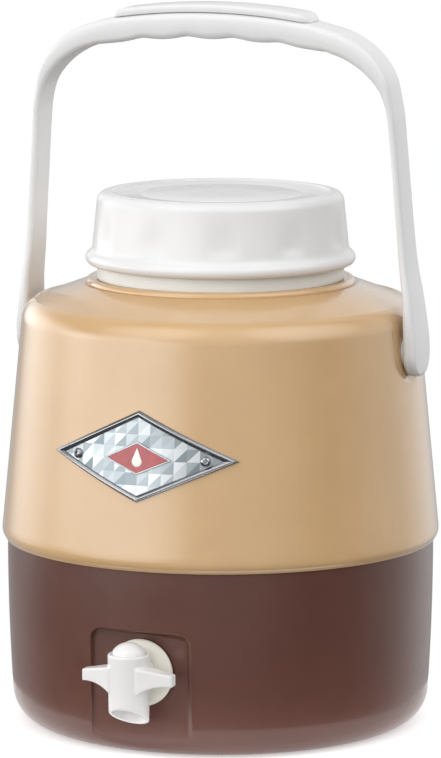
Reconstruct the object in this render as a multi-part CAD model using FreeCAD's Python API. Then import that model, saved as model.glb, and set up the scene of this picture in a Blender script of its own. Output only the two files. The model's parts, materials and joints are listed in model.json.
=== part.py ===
import FreeCAD, Part
import math
import os

# Insulated drinks jug with a screw lid, a folding bail handle and a push-button tap.
# Millimetres. The origin is the centre of the flat underside and +Z is up. The tap and
# the badge face -Y, and the bail swings on the X axis direction through its two pegs.
# "front" distances below are measured along -Y from the jug's axis.

V = FreeCAD.Vector
X_AXIS, Y_AXIS, Z_AXIS = V(1, 0, 0), V(0, 1, 0), V(0, 0, 1)
FORWARD = V(0, -1, 0)
ORIGIN = V(0, 0, 0)

# ---- outer shells ----
WALL = 2.5                # moulded wall of both outer shells
SEAM_Z = 106.0            # lower lip of the upper shell
LIP_R = 123.1             # lip radius at the seam
LIP_BULGE_OUT, LIP_BULGE_UP = 1.4, 1.8    # a point on the lip's round, from its lower edge
BAND_R, BAND_Z = 125.0, 111.0     # widest line of the jug
WALL_TAPER = 0.0961       # radius lost per millimetre of height
LOWER_R = 122.0           # lower shell just under the seam
LAP_TOP_Z = 118.0         # lower shell tucks up inside the upper shell to here
LAP_GAP, LAP_ROOM = 0.05, 0.5      # side and top clearance of the lap
LAP_OPEN = 3.0            # depth of the cut that opens the lower shell's top
CREASE_Z = 243.4          # crisp line between the rounded top corner and the shoulder
TOP_FILLET = 15.5
CREASE_ANGLE = math.radians(60)
STEP = 0.6                # small step just inside the crease
NECK_FOOT_R, NECK_FOOT_Z = 77.5, 252.9
BEAD_R, BEAD_RADIUS = 74.0, 2.6   # rounded collar bead round the neck
COLLAR_LAND_Z = 254.3
COLLAR_BORE = 67.0
BASE_FILLET = 19.0
FOOT_R = 100.5            # where the flat underside meets the base fillet
BELLY_R, BELLY_Z = 121.2, 55.0
LOWER_STRAIGHT_Z = 98.0
GROOVE_IN, GROOVE_OUT, GROOVE_DEEP = 66.0, 84.0, 1.5   # ring groove inside the foot
PLUG_Y, PLUG_R = 40.0, 11.0       # plug of the foam filling hole
PLUG_DEEP, PLUG_FIT = 1.0, 0.1     # sunk below the underside, and its side clearance
PLUG_HEAD_R, PLUG_HEAD = 13.0, 1.5
PLUG_POCKET_R, PLUG_POCKET_Z = 14.0, 5.0  # room in the foam over the plug

# ---- reservoir ----
TANK_R = 92.0
TANK_FLOOR_Z = 30.0
TANK_CORNER = 14.0
TANK_WALL = 2.0
TANK_SIDE_TOP = 204.0
TANK_SHOULDER = 18.0
NECK_BORE, NECK_R = 63.0, 66.0
NECK_START_Z = 226.0
NECK_TOP_Z = 292.0
NECK_RING_R, NECK_RING_TOP = 70.4, 262.0
FOAM_GAP = 0.3

# ---- screw thread of lid and neck ----
THREAD_LEAD = 12.0
THREAD_STARTS = 2
THREAD_HEIGHT = 2.2
THREAD_ROOT, THREAD_CREST = 2.4, 1.0
THREAD_BITE = 0.3         # how far a ridge's foot runs into its wall
THREAD_TURNS = 0.9
THREAD_FIRST = 25.0       # degrees round from +X where the first ridge starts
NECK_THREAD_Z = 272.0
LID_THREAD_DROP = 2.9     # lid ridges run under the neck ridges

# ---- lid ----
LID_BEAD_R, LID_BEAD_Z = 76.9, 266.8
LID_SKIRT_Z = 263.0
LID_FOOT_R, LID_FOOT_Z = 73.1, 272.5
LID_SHOULDER_R, LID_SHOULDER_Z = 70.3, 298.8
LID_TOP_Z = 304.4
LID_BORE = 69.2
LID_ROOF_Z = 301.0
LID_RIDGE_R = 63.0
LID_DISC_R = 46.0
LID_BEAD_ROOT_R = 74.7     # where the bead leaves the skirt, below and above
LID_EDGE = 0.2            # the lid's corner lies this much under its top ridge
LID_ROUND_OUT, LID_ROUND_DOWN = 1.7, 1.5   # a point on the shoulder's round, from its ends
LID_RIDGE_HALF = 1.6
LID_SUNK = 1.2            # the flat of the top is sunk inside the ridge
LID_DISC_GROOVE = 0.8
LID_SPIGOT = 1.5          # the plug cup's flange is this much inside the lid's bore
LID_BORE_CONE = 5.0
GASKET_Z = 294.5          # top of the gasket when the lid is tight
PLUG_CUP_R, PLUG_CUP_Z = 61.5, 268.0
PLUG_CUP_WALL = 2.0
PLUG_CUP_CORNER, PLUG_CUP_ROUND = 3.0, 0.9     # its corner radius, and a point on that corner
GASKET_LIP_IN, GASKET_LIP_OUT = 0.8, 1.0   # the gasket overhangs the neck's rim
WELD_Z, WELD_IN_R = 297.0, 57.5   # ring under the lid's roof that the plug cup is welded to

# ---- bail handle ----
PIVOT_Z = 218.0
LEAN = 2.2                # degrees forward of upright at rest
PADDLE_R = 13.5
PADDLE_IN, PADDLE_OUT = 115.0, 122.7
PADDLE_TOE_IN, PADDLE_TOE_UP = 2.5, 7.0     # slope at the paddle's lower outside edge
PADDLE_HEEL_IN, PADDLE_HEEL_UP = 0.2, 8.0   # where its outside starts to turn into the arm
ARM_START_UP = 22.0       # the inside of the arm stays upright up to here
PEG_BITE = 2.0            # the peg is rooted this far into the paddle
GRIP_WIDTH = 23.6
GRIP_HALF = 60.0          # the cap and the finger lobes run this far each side
GRIP_TOP_Z, GRIP_END_Z = 407.0, 402.3      # gentle arch of the grip's top
GRIP_UNDER_Z, GRIP_UNDER_DROP = 391.8, 4.0 # the same arch underneath, middle and fall to the ends
LOBES, LOBE_PITCH, LOBE_DEPTH = 5, 28.0, 2.0
OUTER_LOBE = 0.8          # the outer lobes end this share of the depth below the arch
CAP_THICK, CAP_GAP = 4.3, 0.15
CAP_SHORT, CAP_NARROW, CAP_SLOPE = 0.5, 3.0, 6.0   # less than the grip at each end and across
PEG_R, PEG_END_X = 5.0, 105.5
BAIL_SPARE_X, BAIL_SPARE_Y = 150.0, 30.0   # the two views are drawn through this far, to intersect
SIDE_TOP_SPARE = 8.0
# half width of the bail at heights above its pivot
BAIL_WAIST = [(13.5, 0.0), (12.9, 16.0), (10.8, 48.0), (10.3, 90.0), (10.3, 140.0)]
GRIP_WIDE_FROM = 6.0      # full grip width this far below the grip's underside
BUSH_BORE, BUSH_R, BUSH_FLANGE_R = 5.06, 7.0, 10.5
BUSH_START_X, BUSH_FACE_X, BUSH_FLANGE = 103.0, 114.6, 1.5
BOSS_R, BOSS_IN_R, BOSS_END_X = 11.0, 9.5, 100.5
RECESS_FLOOR_X = 110.5
RECESS_HALF, RECESS_FLARE = 18.5, 0.8     # half width at the floor, and its spread outwards
RECESS_BOTTOM_CENTRE = 221.0
RECESS_TOP_Z = 264.0
RECESS_OPEN_X = 119.0

# ---- niche and tap ----
NICHE_HALF, NICHE_TOP_Z = 30.0, 72.0
NICHE_FLOOR = 114.0       # front distance of the flat niche floor
NICHE_CORNER = 7.0
NICHE_SPARE, NICHE_OUT = 5.0, 40.0        # its cutter runs on below the base and to the front
TAP_Z = 48.0              # height of the shank
TAP_FRONT = 133.0         # front distance of the upright barrel
BARREL_TOP_Z, BARREL_TOP_R = 62.0, 11.8
BARREL_LOW_Z, BARREL_LOW_R = 19.6, 11.1
SPOUT_CUT = math.radians(30)
SPOUT_TOOL = 60.0         # block that slants the outlet
SPOUT_BORE = 9.2
SEAT_Z, SEAT_TOP_Z, SEAT_BORE = 37.0, 40.0, 5.5
CHAMBER_R, CHAMBER_TOP_Z = 8.3, 53.3
WEB_TOP_Z = 55.0
SHANK_R, SHANK_BORE, SHANK_END = 9.0, 4.5, 76.0
TAP_NECK_R = 10.2         # thicker part between the rose and the barrel
CHAMBER_BITE = 2.0        # the water way reaches this far into the chamber
SHANK_HOLE = 9.3
SHANK_HOLE_FROM, SHANK_HOLE_TO = 60.0, 130.0   # front distances its cutting tool spans
NUT_FLATS = 30.0
NUT_THICK = 7.0
NUT_FIT = 0.05
PAD_R, PAD_FACE, PAD_BACK = 17.0, 86.0, 95.5   # flat pad through the reservoir's wall
WASHER_IN, WASHER_OUT, WASHER_R = 2.0, 1.0, 15.5
FLANGE_R, FLANGE_RIM, FLANGE_DOME = 18.9, 1.6, 4.0
FLANGE_TOP_R, FLANGE_FIT = 11.6, 0.1
FLANGE_BULGE, FLANGE_DIP = 0.8, 0.6       # where the middle of its dome lies
WING_TIP_X, WING_ROOT_X = 26.9, 3.0
WING_ROOT_FRONT, WING_ROOT_BACK = 9.1, 4.0     # ahead of and behind the barrel's axis
WING_BEND_X, WING_BEND_FRONT = 9.0, 8.8
WING_TIP_FRONT, WING_TIP_BACK = 3.4, 3.0
WING_TIP_LOW, WING_TIP_HIGH = 45.4, 52.0
WING_ROOT_LOW, WING_ROOT_HIGH = 35.0, 56.6
WING_SPARE = 10.0         # the wing's two views are drawn through this far, to intersect
WING_ARCH_X, WING_ARCH_Z = 13.5, 43.9     # a point on the hollow under a wing
BUTTON_R, BUTTON_TOP_Z, BUTTON_SKIRT_Z = 9.12, 68.4, 59.7
BUTTON_FIT = 0.08
BUTTON_RIM_Z, BUTTON_ROOF = 63.6, 2.0
BUTTON_BORE, SOCKET_R, SOCKET_DEEP, SOCKET_BITE = 7.4, 3.8, 5.0, 0.3
STEM_SEAL_R, STEM_SEAL_THICK = 4.4, 1.8
STEM_FOOT_R, STEM_FOOT = 3.6, 1.5         # flange that holds the valve from below
STEM_R, STEM_BORE = 2.4, 2.5
SPRING_WIRE, SPRING_R, SPRING_TURNS = 0.9, 5.6, 4.5
VALVE_R, VALVE_THICK = 7.2, 3.5

# ---- badge ----
BADGE_HALF_ANGLE = math.radians(27.4)
BADGE_TOP_Z, BADGE_LOW_Z, BADGE_SIDE_Z = 195.1, 144.6, 168.5
BADGE_RIM = 3.4
BADGE_GAP = 0.05
FRAME_THICK, PLATE_THICK, EMBLEM_THICK = 2.2, 1.0, 1.1
EMBLEM_SCALE = 0.36
SCREW_ANGLE = 18.4
BADGE_SPARE = 6.0         # the skin that the badge is cut from runs this far past it
SCREW_HEAD_R, SCREW_SHANK_R = 2.9, 1.4
SCREW_HEAD, SCREW_HEAD_UP = 1.6, 0.2      # head thickness, and its clearance over the plate
SCREW_SHANK, SCREW_DRIVE_R, SCREW_DRIVE = 8.0, 1.2, 1.0
SCREW_FIT, SCREW_PINCH = 0.1, 0.05        # hole in the plate, and grip of the hole in the shell
SCREW_CUT, SCREW_CUT_OUT, SCREW_CUT_PLATE = 12.0, 3.0, 5.0   # tool through the shell or the plate
SCREW_ROOM = 14.0         # the same tool for the foam


# ---- small helpers ----
def at(r, z):
    return V(r, 0, z)


def wire_of(start, steps):
    """A wire in the XZ plane from start through steps: (r, z) is a line, (r, z, mid_r, mid_z) an arc."""
    edges = []
    here = at(*start)
    for step in steps:
        there = at(step[0], step[1])
        if len(step) == 4:
            edges.append(Part.Arc(here, at(step[2], step[3]), there).toShape())
        else:
            edges.append(Part.LineSegment(here, there).toShape())
        here = there
    return Part.Wire(edges)


def turned(start, steps):
    """Revolve the closed section about the jug's axis."""
    face = Part.Face(wire_of(start, steps + [start]))
    return face.revolve(ORIGIN, Z_AXIS, 360)


def rod(radius, length, base, direction):
    return Part.makeCylinder(radius, length, base, direction)


def ring(r_in, r_out, length, base, direction):
    return rod(r_out, length, base, direction).cut(rod(r_in, length, base, direction))


def prism(points, direction):
    return Part.Face(Part.makePolygon(points + [points[0]])).extrude(direction)


def arc_point(centre, radius, angle):
    return (centre[0] + radius * math.cos(angle), centre[1] + radius * math.sin(angle))


def arc_step(centre, radius, start, end):
    """An arc step about centre, from the angle start to the angle end."""
    return arc_point(centre, radius, end) + arc_point(centre, radius, (start + end) / 2)


def mirrored(shape):
    return shape.mirror(ORIGIN, X_AXIS)


def save(node, shape):
    shape = shape.removeSplitter()
    shape.exportStep("parts/%s.step" % node)
    print("%-20s solids %d  valid %s  volume %.1f cm3  box %s" % (
        node, len(shape.Solids), shape.isValid(), shape.Volume / 1000,
        [round(v, 1) for v in (shape.BoundBox.XMin, shape.BoundBox.XMax, shape.BoundBox.YMin,
                               shape.BoundBox.YMax, shape.BoundBox.ZMin, shape.BoundBox.ZMax)]))


# ---- envelopes shared by the shells and the foam ----
WALL_ANGLE = math.atan(WALL_TAPER)
FILLET_START_Z = CREASE_Z - TOP_FILLET * (math.sin(CREASE_ANGLE) - math.sin(WALL_ANGLE))


def wall_radius(z, inset=0.0):
    return BAND_R - WALL_TAPER * (z - BAND_Z) - inset / math.cos(WALL_ANGLE)


FILLET_CENTRE = (wall_radius(FILLET_START_Z) - TOP_FILLET * math.cos(WALL_ANGLE),
                 FILLET_START_Z - TOP_FILLET * math.sin(WALL_ANGLE))


def upper_top_steps(inset):
    """The upper wall's round corner and shoulder, from the wall to the neck foot."""
    radius = TOP_FILLET - inset
    crease = arc_point(FILLET_CENTRE, radius, CREASE_ANGLE)
    slope = math.atan2(NECK_FOOT_Z - CREASE_Z + STEP, crease[0] - STEP - NECK_FOOT_R)
    foot = (NECK_FOOT_R - inset * math.sin(slope), NECK_FOOT_Z - inset * math.cos(slope))
    return [arc_point(FILLET_CENTRE, radius, WALL_ANGLE),
            arc_step(FILLET_CENTRE, radius, WALL_ANGLE, CREASE_ANGLE),
            (crease[0] - STEP, crease[1] - STEP),
            foot]


def upper_filling(inset):
    """Everything inside the upper shell's inner face, down to the lap."""
    steps = [(wall_radius(LAP_TOP_Z, inset), LAP_TOP_Z)] + upper_top_steps(inset)
    return turned((0, LAP_TOP_Z), steps + [(0, steps[-1][1])])


def lower_steps(inset):
    """The lower shell's outside from the flat underside to the straight under the seam."""
    centre = (FOOT_R, BASE_FILLET)
    radius = BASE_FILLET - inset
    return [(FOOT_R, inset),
            arc_step(centre, radius, -math.pi / 2, 0),
            (LOWER_R - inset, LOWER_STRAIGHT_Z, BELLY_R - inset, BELLY_Z),
            (LOWER_R - inset, LAP_TOP_Z)]


def lower_filling(inset):
    return turned((0, inset), lower_steps(inset) + [(0, LAP_TOP_Z)])


def recess_tool(grow):
    """The pocket in the shell's side that the bail's paddle sits in, on the +X side."""
    outlines = []
    floor = RECESS_FLOOR_X - grow
    for x in (floor, RECESS_OPEN_X):
        half = RECESS_HALF + grow + RECESS_FLARE * (x - floor)
        low = V(x, 0, RECESS_BOTTOM_CENTRE - half)
        left, right = V(x, -half, RECESS_BOTTOM_CENTRE), V(x, half, RECESS_BOTTOM_CENTRE)
        left_top, right_top = V(x, -half, RECESS_TOP_Z), V(x, half, RECESS_TOP_Z)
        outlines.append(Part.Wire([Part.Arc(left, low, right).toShape(),
                                   Part.LineSegment(right, right_top).toShape(),
                                   Part.LineSegment(right_top, left_top).toShape(),
                                   Part.LineSegment(left_top, left).toShape()]))
    return Part.makeLoft(outlines, True, True)


def niche_tool(grow):
    """The flat-floored niche round the tap, open at the front and below."""
    half, top, r = NICHE_HALF + grow, NICHE_TOP_Z + grow, NICHE_CORNER + grow
    low = -NICHE_SPARE
    y = -(NICHE_FLOOR - grow)
    s = r * (1 - math.sqrt(0.5))
    outline = Part.Wire([
        Part.LineSegment(V(-half, y, low), V(half, y, low)).toShape(),
        Part.LineSegment(V(half, y, low), V(half, y, top - r)).toShape(),
        Part.Arc(V(half, y, top - r), V(half - s, y, top - s), V(half - r, y, top)).toShape(),
        Part.LineSegment(V(half - r, y, top), V(-half + r, y, top)).toShape(),
        Part.Arc(V(-half + r, y, top), V(-half + s, y, top - s), V(-half, y, top - r)).toShape(),
        Part.LineSegment(V(-half, y, top - r), V(-half, y, low)).toShape()])
    return Part.Face(outline).extrude(V(0, -NICHE_OUT, 0))


def boss(radius, start_x, end_x):
    """A cylinder on the bail's pivot line, on the +X side."""
    return rod(radius, end_x - start_x, V(start_x, 0, PIVOT_Z), X_AXIS)


def shank_rod(radius, front0, front1):
    """A cylinder on the tap's shank line."""
    return rod(radius, front1 - front0, V(0, -front0, TAP_Z), FORWARD)


def shank_hole():
    """Cutter for the hole that the tap's shank passes through."""
    return shank_rod(SHANK_HOLE, SHANK_HOLE_FROM, SHANK_HOLE_TO)


# ---- outer shells and foam ----
def badge_screw_line(side, radius, length, lift):
    """A cylinder square to the wall at a badge screw, starting lift above the wall."""
    turn = math.radians(side * SCREW_ANGLE)
    out = V(math.sin(turn) * math.cos(WALL_ANGLE), -math.cos(turn) * math.cos(WALL_ANGLE),
            math.sin(WALL_ANGLE))
    r = wall_radius(BADGE_SIDE_Z)
    foot = V(r * math.sin(turn), -r * math.cos(turn), BADGE_SIDE_Z)
    return rod(radius, length, foot + out * (lift - length), out)


def make_upper_shell():
    lip_top = (BAND_R, BAND_Z, LIP_R + LIP_BULGE_OUT, SEAM_Z + LIP_BULGE_UP)
    inner_top = upper_top_steps(WALL)
    bead_centre = (BEAD_R, NECK_FOOT_Z)
    bead_end = math.pi - math.asin((COLLAR_LAND_Z - NECK_FOOT_Z) / BEAD_RADIUS)
    steps = [(LIP_R, SEAM_Z), lip_top] + upper_top_steps(0)
    steps += [arc_point(bead_centre, BEAD_RADIUS, 0), arc_step(bead_centre, BEAD_RADIUS, 0, bead_end),
              (COLLAR_BORE, COLLAR_LAND_Z), (COLLAR_BORE, inner_top[-1][1])]
    steps += [inner_top[3], inner_top[2], inner_top[1][:2],
              inner_top[0] + arc_point(FILLET_CENTRE, TOP_FILLET - WALL,
                                       (WALL_ANGLE + CREASE_ANGLE) / 2),
              (wall_radius(LAP_TOP_Z, WALL), LAP_TOP_Z + LAP_ROOM), (LOWER_R + LAP_GAP, LAP_TOP_Z + LAP_ROOM)]
    shell = turned((LOWER_R + LAP_GAP, SEAM_Z), steps)
    filling = upper_filling(0)
    for side in (1, -1):
        backing = recess_tool(WALL).common(filling)
        pocket = recess_tool(0)
        stub = boss(BOSS_IN_R, BOSS_END_X, RECESS_FLOOR_X).fuse(boss(BOSS_R, RECESS_FLOOR_X - 1,
                                                                     BUSH_FACE_X - BUSH_FLANGE))
        hole = boss(BUSH_R, BUSH_START_X, BUSH_FACE_X)
        if side < 0:
            backing, pocket, stub, hole = [mirrored(s) for s in (backing, pocket, stub, hole)]
        shell = shell.fuse(backing).cut(pocket).fuse(stub).cut(hole)
        shell = shell.cut(badge_screw_line(side, SCREW_SHANK_R, SCREW_CUT, SCREW_CUT_OUT))
    return shell


def make_lower_shell():
    shell = lower_filling(0).cut(lower_filling(WALL))
    shell = shell.cut(rod(LOWER_R - WALL, LAP_OPEN + 1, at(0, LAP_TOP_Z - LAP_OPEN), Z_AXIS))
    shell = shell.fuse(niche_tool(WALL).common(lower_filling(0))).cut(niche_tool(0))
    groove = turned((GROOVE_IN, -1), [(GROOVE_OUT, -1), (GROOVE_OUT, GROOVE_DEEP), (GROOVE_IN, GROOVE_DEEP)])
    shell = shell.cut(groove).cut(shank_hole())
    fill_hole = rod(PLUG_R, 4 * WALL, V(0, PLUG_Y, -WALL), Z_AXIS)
    return shell.cut(fill_hole)


def make_foam_plug():
    shaft = rod(PLUG_R - PLUG_FIT, WALL, V(0, PLUG_Y, PLUG_DEEP), Z_AXIS)
    head = rod(PLUG_HEAD_R, PLUG_HEAD, V(0, PLUG_Y, WALL), Z_AXIS)
    return shaft.fuse(head)


def tank_outline(outset):
    """The reservoir's section from its floor to the start of its neck, grown by outset."""
    corner = (TANK_R - TANK_CORNER, TANK_FLOOR_Z + TANK_CORNER)
    shoulder = (TANK_R - TANK_SHOULDER, TANK_SIDE_TOP)
    return [(corner[0], TANK_FLOOR_Z - outset),
            arc_step(corner, TANK_CORNER + outset, -math.pi / 2, 0),
            (TANK_R + outset, TANK_SIDE_TOP),
            arc_step(shoulder, TANK_SHOULDER + outset, 0, math.pi / 2)]


def make_liner():
    """Blow-moulded tank, open at the top where the neck is welded into it."""
    mouth = NECK_START_Z + TANK_WALL
    tank = turned((0, TANK_FLOOR_Z - TANK_WALL), tank_outline(TANK_WALL) + [(NECK_R, mouth), (0, mouth)])
    tank = tank.cut(turned((0, TANK_FLOOR_Z), tank_outline(0) + [(NECK_R, NECK_START_Z), (0, NECK_START_Z)]))
    tank = tank.cut(rod(NECK_R, 4 * TANK_WALL, at(0, NECK_START_Z - TANK_WALL), Z_AXIS))
    return tank.fuse(shank_rod(PAD_R, PAD_FACE, PAD_BACK)).cut(shank_hole())


def make_neck():
    """Threaded neck, welded into the tank's mouth, with the ring that lands on the collar."""
    neck = turned((NECK_BORE, NECK_START_Z), [
        (NECK_R, NECK_START_Z), (NECK_R, COLLAR_LAND_Z), (NECK_RING_R, COLLAR_LAND_Z),
        (NECK_RING_R, NECK_RING_TOP), (NECK_R, NECK_RING_TOP), (NECK_R, NECK_TOP_Z), (NECK_BORE, NECK_TOP_Z)])
    return neck.fuse(thread_ridges(NECK_R, NECK_R + THREAD_HEIGHT, NECK_THREAD_Z))


def make_foam():
    inset = WALL + FOAM_GAP
    foam = upper_filling(inset).fuse(lower_filling(inset))
    outer = tank_outline(TANK_WALL + FOAM_GAP) + [
        (NECK_R + FOAM_GAP, NECK_START_Z + TANK_WALL), (NECK_R + FOAM_GAP, LID_TOP_Z), (0, LID_TOP_Z)]
    foam = foam.cut(turned((0, TANK_FLOOR_Z - TANK_WALL - FOAM_GAP), outer))
    foam = foam.cut(niche_tool(inset)).cut(shank_hole())
    foam = foam.cut(shank_rod(PAD_R + FOAM_GAP, PAD_FACE, PAD_BACK + FOAM_GAP))
    foam = foam.cut(rod(PLUG_POCKET_R, PLUG_POCKET_Z, V(0, PLUG_Y, 0), Z_AXIS))
    for side in (1, -1):
        room = recess_tool(inset).fuse(boss(BOSS_IN_R + FOAM_GAP, BOSS_END_X - FOAM_GAP, RECESS_FLOOR_X))
        foam = foam.cut(room if side > 0 else mirrored(room))
        foam = foam.cut(badge_screw_line(side, SCREW_SHANK_R + FOAM_GAP, SCREW_ROOM, SCREW_CUT_OUT))
    return foam


def make_bush():
    tube = boss(BUSH_R, BUSH_START_X, BUSH_FACE_X)
    flange = boss(BUSH_FLANGE_R, BUSH_FACE_X - BUSH_FLANGE, BUSH_FACE_X)
    return tube.fuse(flange).cut(boss(BUSH_BORE, BUSH_START_X - 1, BUSH_FACE_X + 1))


# ---- screw thread ----
def thread_ridge(root_r, crest_r, low_z, turns):
    """One right-hand ridge; it leans from root_r towards crest_r, so it may be outside or inside."""
    flank = (THREAD_ROOT - THREAD_CREST) / 2 * (1 + THREAD_BITE / THREAD_HEIGHT)
    foot_r = root_r - math.copysign(THREAD_BITE, crest_r - root_r)
    section = Part.makePolygon([at(foot_r, low_z - flank), at(crest_r, low_z),
                                at(crest_r, low_z + THREAD_CREST),
                                at(foot_r, low_z + THREAD_CREST + flank), at(foot_r, low_z - flank)])
    path = Part.makeHelix(THREAD_LEAD, THREAD_LEAD * turns, root_r)
    path.translate(V(0, 0, low_z))
    return Part.Wire(path.Edges).makePipeShell([section], True, True)


def thread_ridges(root_r, crest_r, low_z):
    ridges = []
    for start in range(THREAD_STARTS):
        ridge = thread_ridge(root_r, crest_r, low_z, THREAD_TURNS)
        ridge.rotate(ORIGIN, Z_AXIS, THREAD_FIRST + 360.0 * start / THREAD_STARTS)
        ridges.append(ridge)
    return ridges[0].fuse(ridges[1:])


# ---- lid ----
def make_lid_shell():
    bead_low, bead_high = LID_SKIRT_Z, 2 * LID_BEAD_Z - LID_SKIRT_Z
    ridge_in, ridge_out = LID_RIDGE_R - LID_RIDGE_HALF, LID_RIDGE_R + LID_RIDGE_HALF
    corner = LID_TOP_Z - LID_EDGE
    flat = corner - LID_SUNK
    steps = [(LID_BEAD_ROOT_R, bead_low),
             (LID_BEAD_ROOT_R, bead_high, LID_BEAD_R, LID_BEAD_Z),
             (LID_FOOT_R, LID_FOOT_Z), (LID_SHOULDER_R, LID_SHOULDER_Z),
             (ridge_out, corner, LID_SHOULDER_R - LID_ROUND_OUT, corner - LID_ROUND_DOWN),
             (ridge_in, corner, LID_RIDGE_R, LID_TOP_Z + LID_EDGE / 2),
             (ridge_in - LID_SUNK, flat), (LID_DISC_R + LID_DISC_GROOVE, flat),
             (LID_DISC_R, flat - LID_DISC_GROOVE), (LID_DISC_R - LID_DISC_GROOVE, flat), (0, flat),
             (0, LID_ROOF_Z), (WELD_IN_R, LID_ROOF_Z), (WELD_IN_R, WELD_Z), (LID_BORE - LID_SPIGOT, WELD_Z),
             (LID_BORE, WELD_Z - LID_BORE_CONE)]
    lid = turned((LID_BORE, LID_SKIRT_Z), steps)
    return lid.fuse(thread_ridges(LID_BORE, LID_BORE - THREAD_HEIGHT, NECK_THREAD_Z - LID_THREAD_DROP))


def make_lid_plug():
    """Insulated cup welded under the lid, which reaches down into the neck."""
    inner = PLUG_CUP_R - PLUG_CUP_WALL
    steps = [(PLUG_CUP_R - PLUG_CUP_CORNER, PLUG_CUP_Z),
             (PLUG_CUP_R, PLUG_CUP_Z + PLUG_CUP_CORNER,
              PLUG_CUP_R - PLUG_CUP_ROUND, PLUG_CUP_Z + PLUG_CUP_ROUND),
             (PLUG_CUP_R, GASKET_Z), (LID_BORE - LID_SPIGOT, GASKET_Z), (LID_BORE - LID_SPIGOT, WELD_Z),
             (inner, WELD_Z), (inner, PLUG_CUP_Z + PLUG_CUP_WALL), (0, PLUG_CUP_Z + PLUG_CUP_WALL)]
    return turned((0, PLUG_CUP_Z), steps)


def make_lid_foam():
    low = PLUG_CUP_Z + PLUG_CUP_WALL
    return rod(WELD_IN_R - FOAM_GAP, LID_ROOF_Z - low, at(0, low), Z_AXIS)


def make_lid_gasket():
    thick = GASKET_Z - NECK_TOP_Z
    return ring(NECK_BORE - GASKET_LIP_IN, NECK_R + GASKET_LIP_OUT, thick, at(0, NECK_TOP_Z), Z_AXIS)


# ---- bail handle ----
ARM_OUTSIDE = [(116.6, 270.0), (110.8, 341.0), (109.2, 356.0), (105.0, 374.0), (95.0, 387.5), (80.0, 396.8)]
ARM_INSIDE = [(112.0, 270.0), (106.6, 341.0), (105.4, 352.0), (101.5, 364.5), (93.0, 374.8), (82.0, 382.2)]


def lobe_point(x, depth):
    """A point under the grip, depth below the arch that joins the cusps between the lobes."""
    arch = GRIP_UNDER_Z + LOBE_DEPTH - GRIP_UNDER_DROP * (x / GRIP_HALF) ** 2
    return at(x, arch - depth)


def bail_outline():
    """The bail's front view: outside from right to left, then the inside with its finger lobes."""
    foot = PIVOT_Z - PADDLE_R
    outside = [at(PADDLE_OUT - PADDLE_TOE_IN, foot), at(PADDLE_OUT, foot + PADDLE_TOE_UP),
               at(PADDLE_OUT - PADDLE_HEEL_IN, PIVOT_Z + PADDLE_HEEL_UP)]
    outside += [at(*p) for p in ARM_OUTSIDE] + [at(GRIP_HALF, GRIP_END_Z)]
    lobe_edge = LOBES * LOBE_PITCH / 2
    inside = [at(PADDLE_IN, foot), at(PADDLE_IN, PIVOT_Z + ARM_START_UP)]
    inside += [at(*p) for p in ARM_INSIDE] + [lobe_point(lobe_edge, LOBE_DEPTH * OUTER_LOBE)]
    cusps = [lobe_point(index * LOBE_PITCH - lobe_edge, 0) for index in range(LOBES + 1)]
    cusps[0], cusps[-1] = lobe_point(-lobe_edge, LOBE_DEPTH * OUTER_LOBE), inside[-1]
    edges = []
    for flip in (1, -1):
        def side(points):
            return [V(flip * p.x, 0, p.z) for p in points]
        arm_out = Part.BSplineCurve()
        arm_out.interpolate(side(outside[1:]))
        edges.append(Part.LineSegment(*side(outside[:2])).toShape())
        edges.append(arm_out.toShape())
        edges.append(Part.LineSegment(*side(inside[:2])).toShape())
        arm_in = Part.BSplineCurve()
        arm_in.interpolate(side(inside[1:]))
        edges.append(arm_in.toShape())
        edges.append(Part.LineSegment(*side([outside[0], inside[0]])).toShape())
    edges.append(Part.Arc(at(GRIP_HALF, GRIP_END_Z), at(0, GRIP_TOP_Z), at(-GRIP_HALF, GRIP_END_Z)).toShape())
    for left, right in zip(cusps, cusps[1:]):
        edges.append(Part.Arc(left, lobe_point((left.x + right.x) / 2, LOBE_DEPTH), right).toShape())
    return Part.Face(Part.Wire(Part.__sortEdges__(edges)))


def bail_side_view():
    """The bail's side view: a round paddle, a narrow arm and a wider grip."""
    grip = GRIP_WIDTH / 2
    top = GRIP_TOP_Z + SIDE_TOP_SPARE
    right = [V(0, half, PIVOT_Z + up) for half, up in BAIL_WAIST]
    right.append(V(0, grip, GRIP_UNDER_Z - GRIP_WIDE_FROM))
    edges = []
    for flip in (1, -1):
        points = [V(0, flip * p.y, p.z) for p in right]
        curve = Part.BSplineCurve()
        curve.interpolate(points)
        edges.append(curve.toShape())
        edges.append(Part.LineSegment(points[-1], V(0, flip * grip, top)).toShape())
    edges.append(Part.LineSegment(V(0, -grip, top), V(0, grip, top)).toShape())
    edges.append(Part.Arc(V(0, PADDLE_R, PIVOT_Z), V(0, 0, PIVOT_Z - PADDLE_R),
                          V(0, -PADDLE_R, PIVOT_Z)).toShape())
    return Part.Face(Part.Wire(Part.__sortEdges__(edges)))


def leaned(shape):
    shape.rotate(V(0, 0, PIVOT_Z), X_AXIS, LEAN)
    return shape


def make_bail():
    front = bail_outline()
    front.translate(V(0, -BAIL_SPARE_Y, 0))
    side = bail_side_view()
    side.translate(V(-BAIL_SPARE_X, 0, 0))
    bail = front.extrude(V(0, 2 * BAIL_SPARE_Y, 0)).common(side.extrude(V(2 * BAIL_SPARE_X, 0, 0)))
    peg = boss(PEG_R, PEG_END_X, PADDLE_IN + PEG_BITE)
    return leaned(bail.fuse([peg, mirrored(peg)]))


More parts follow.
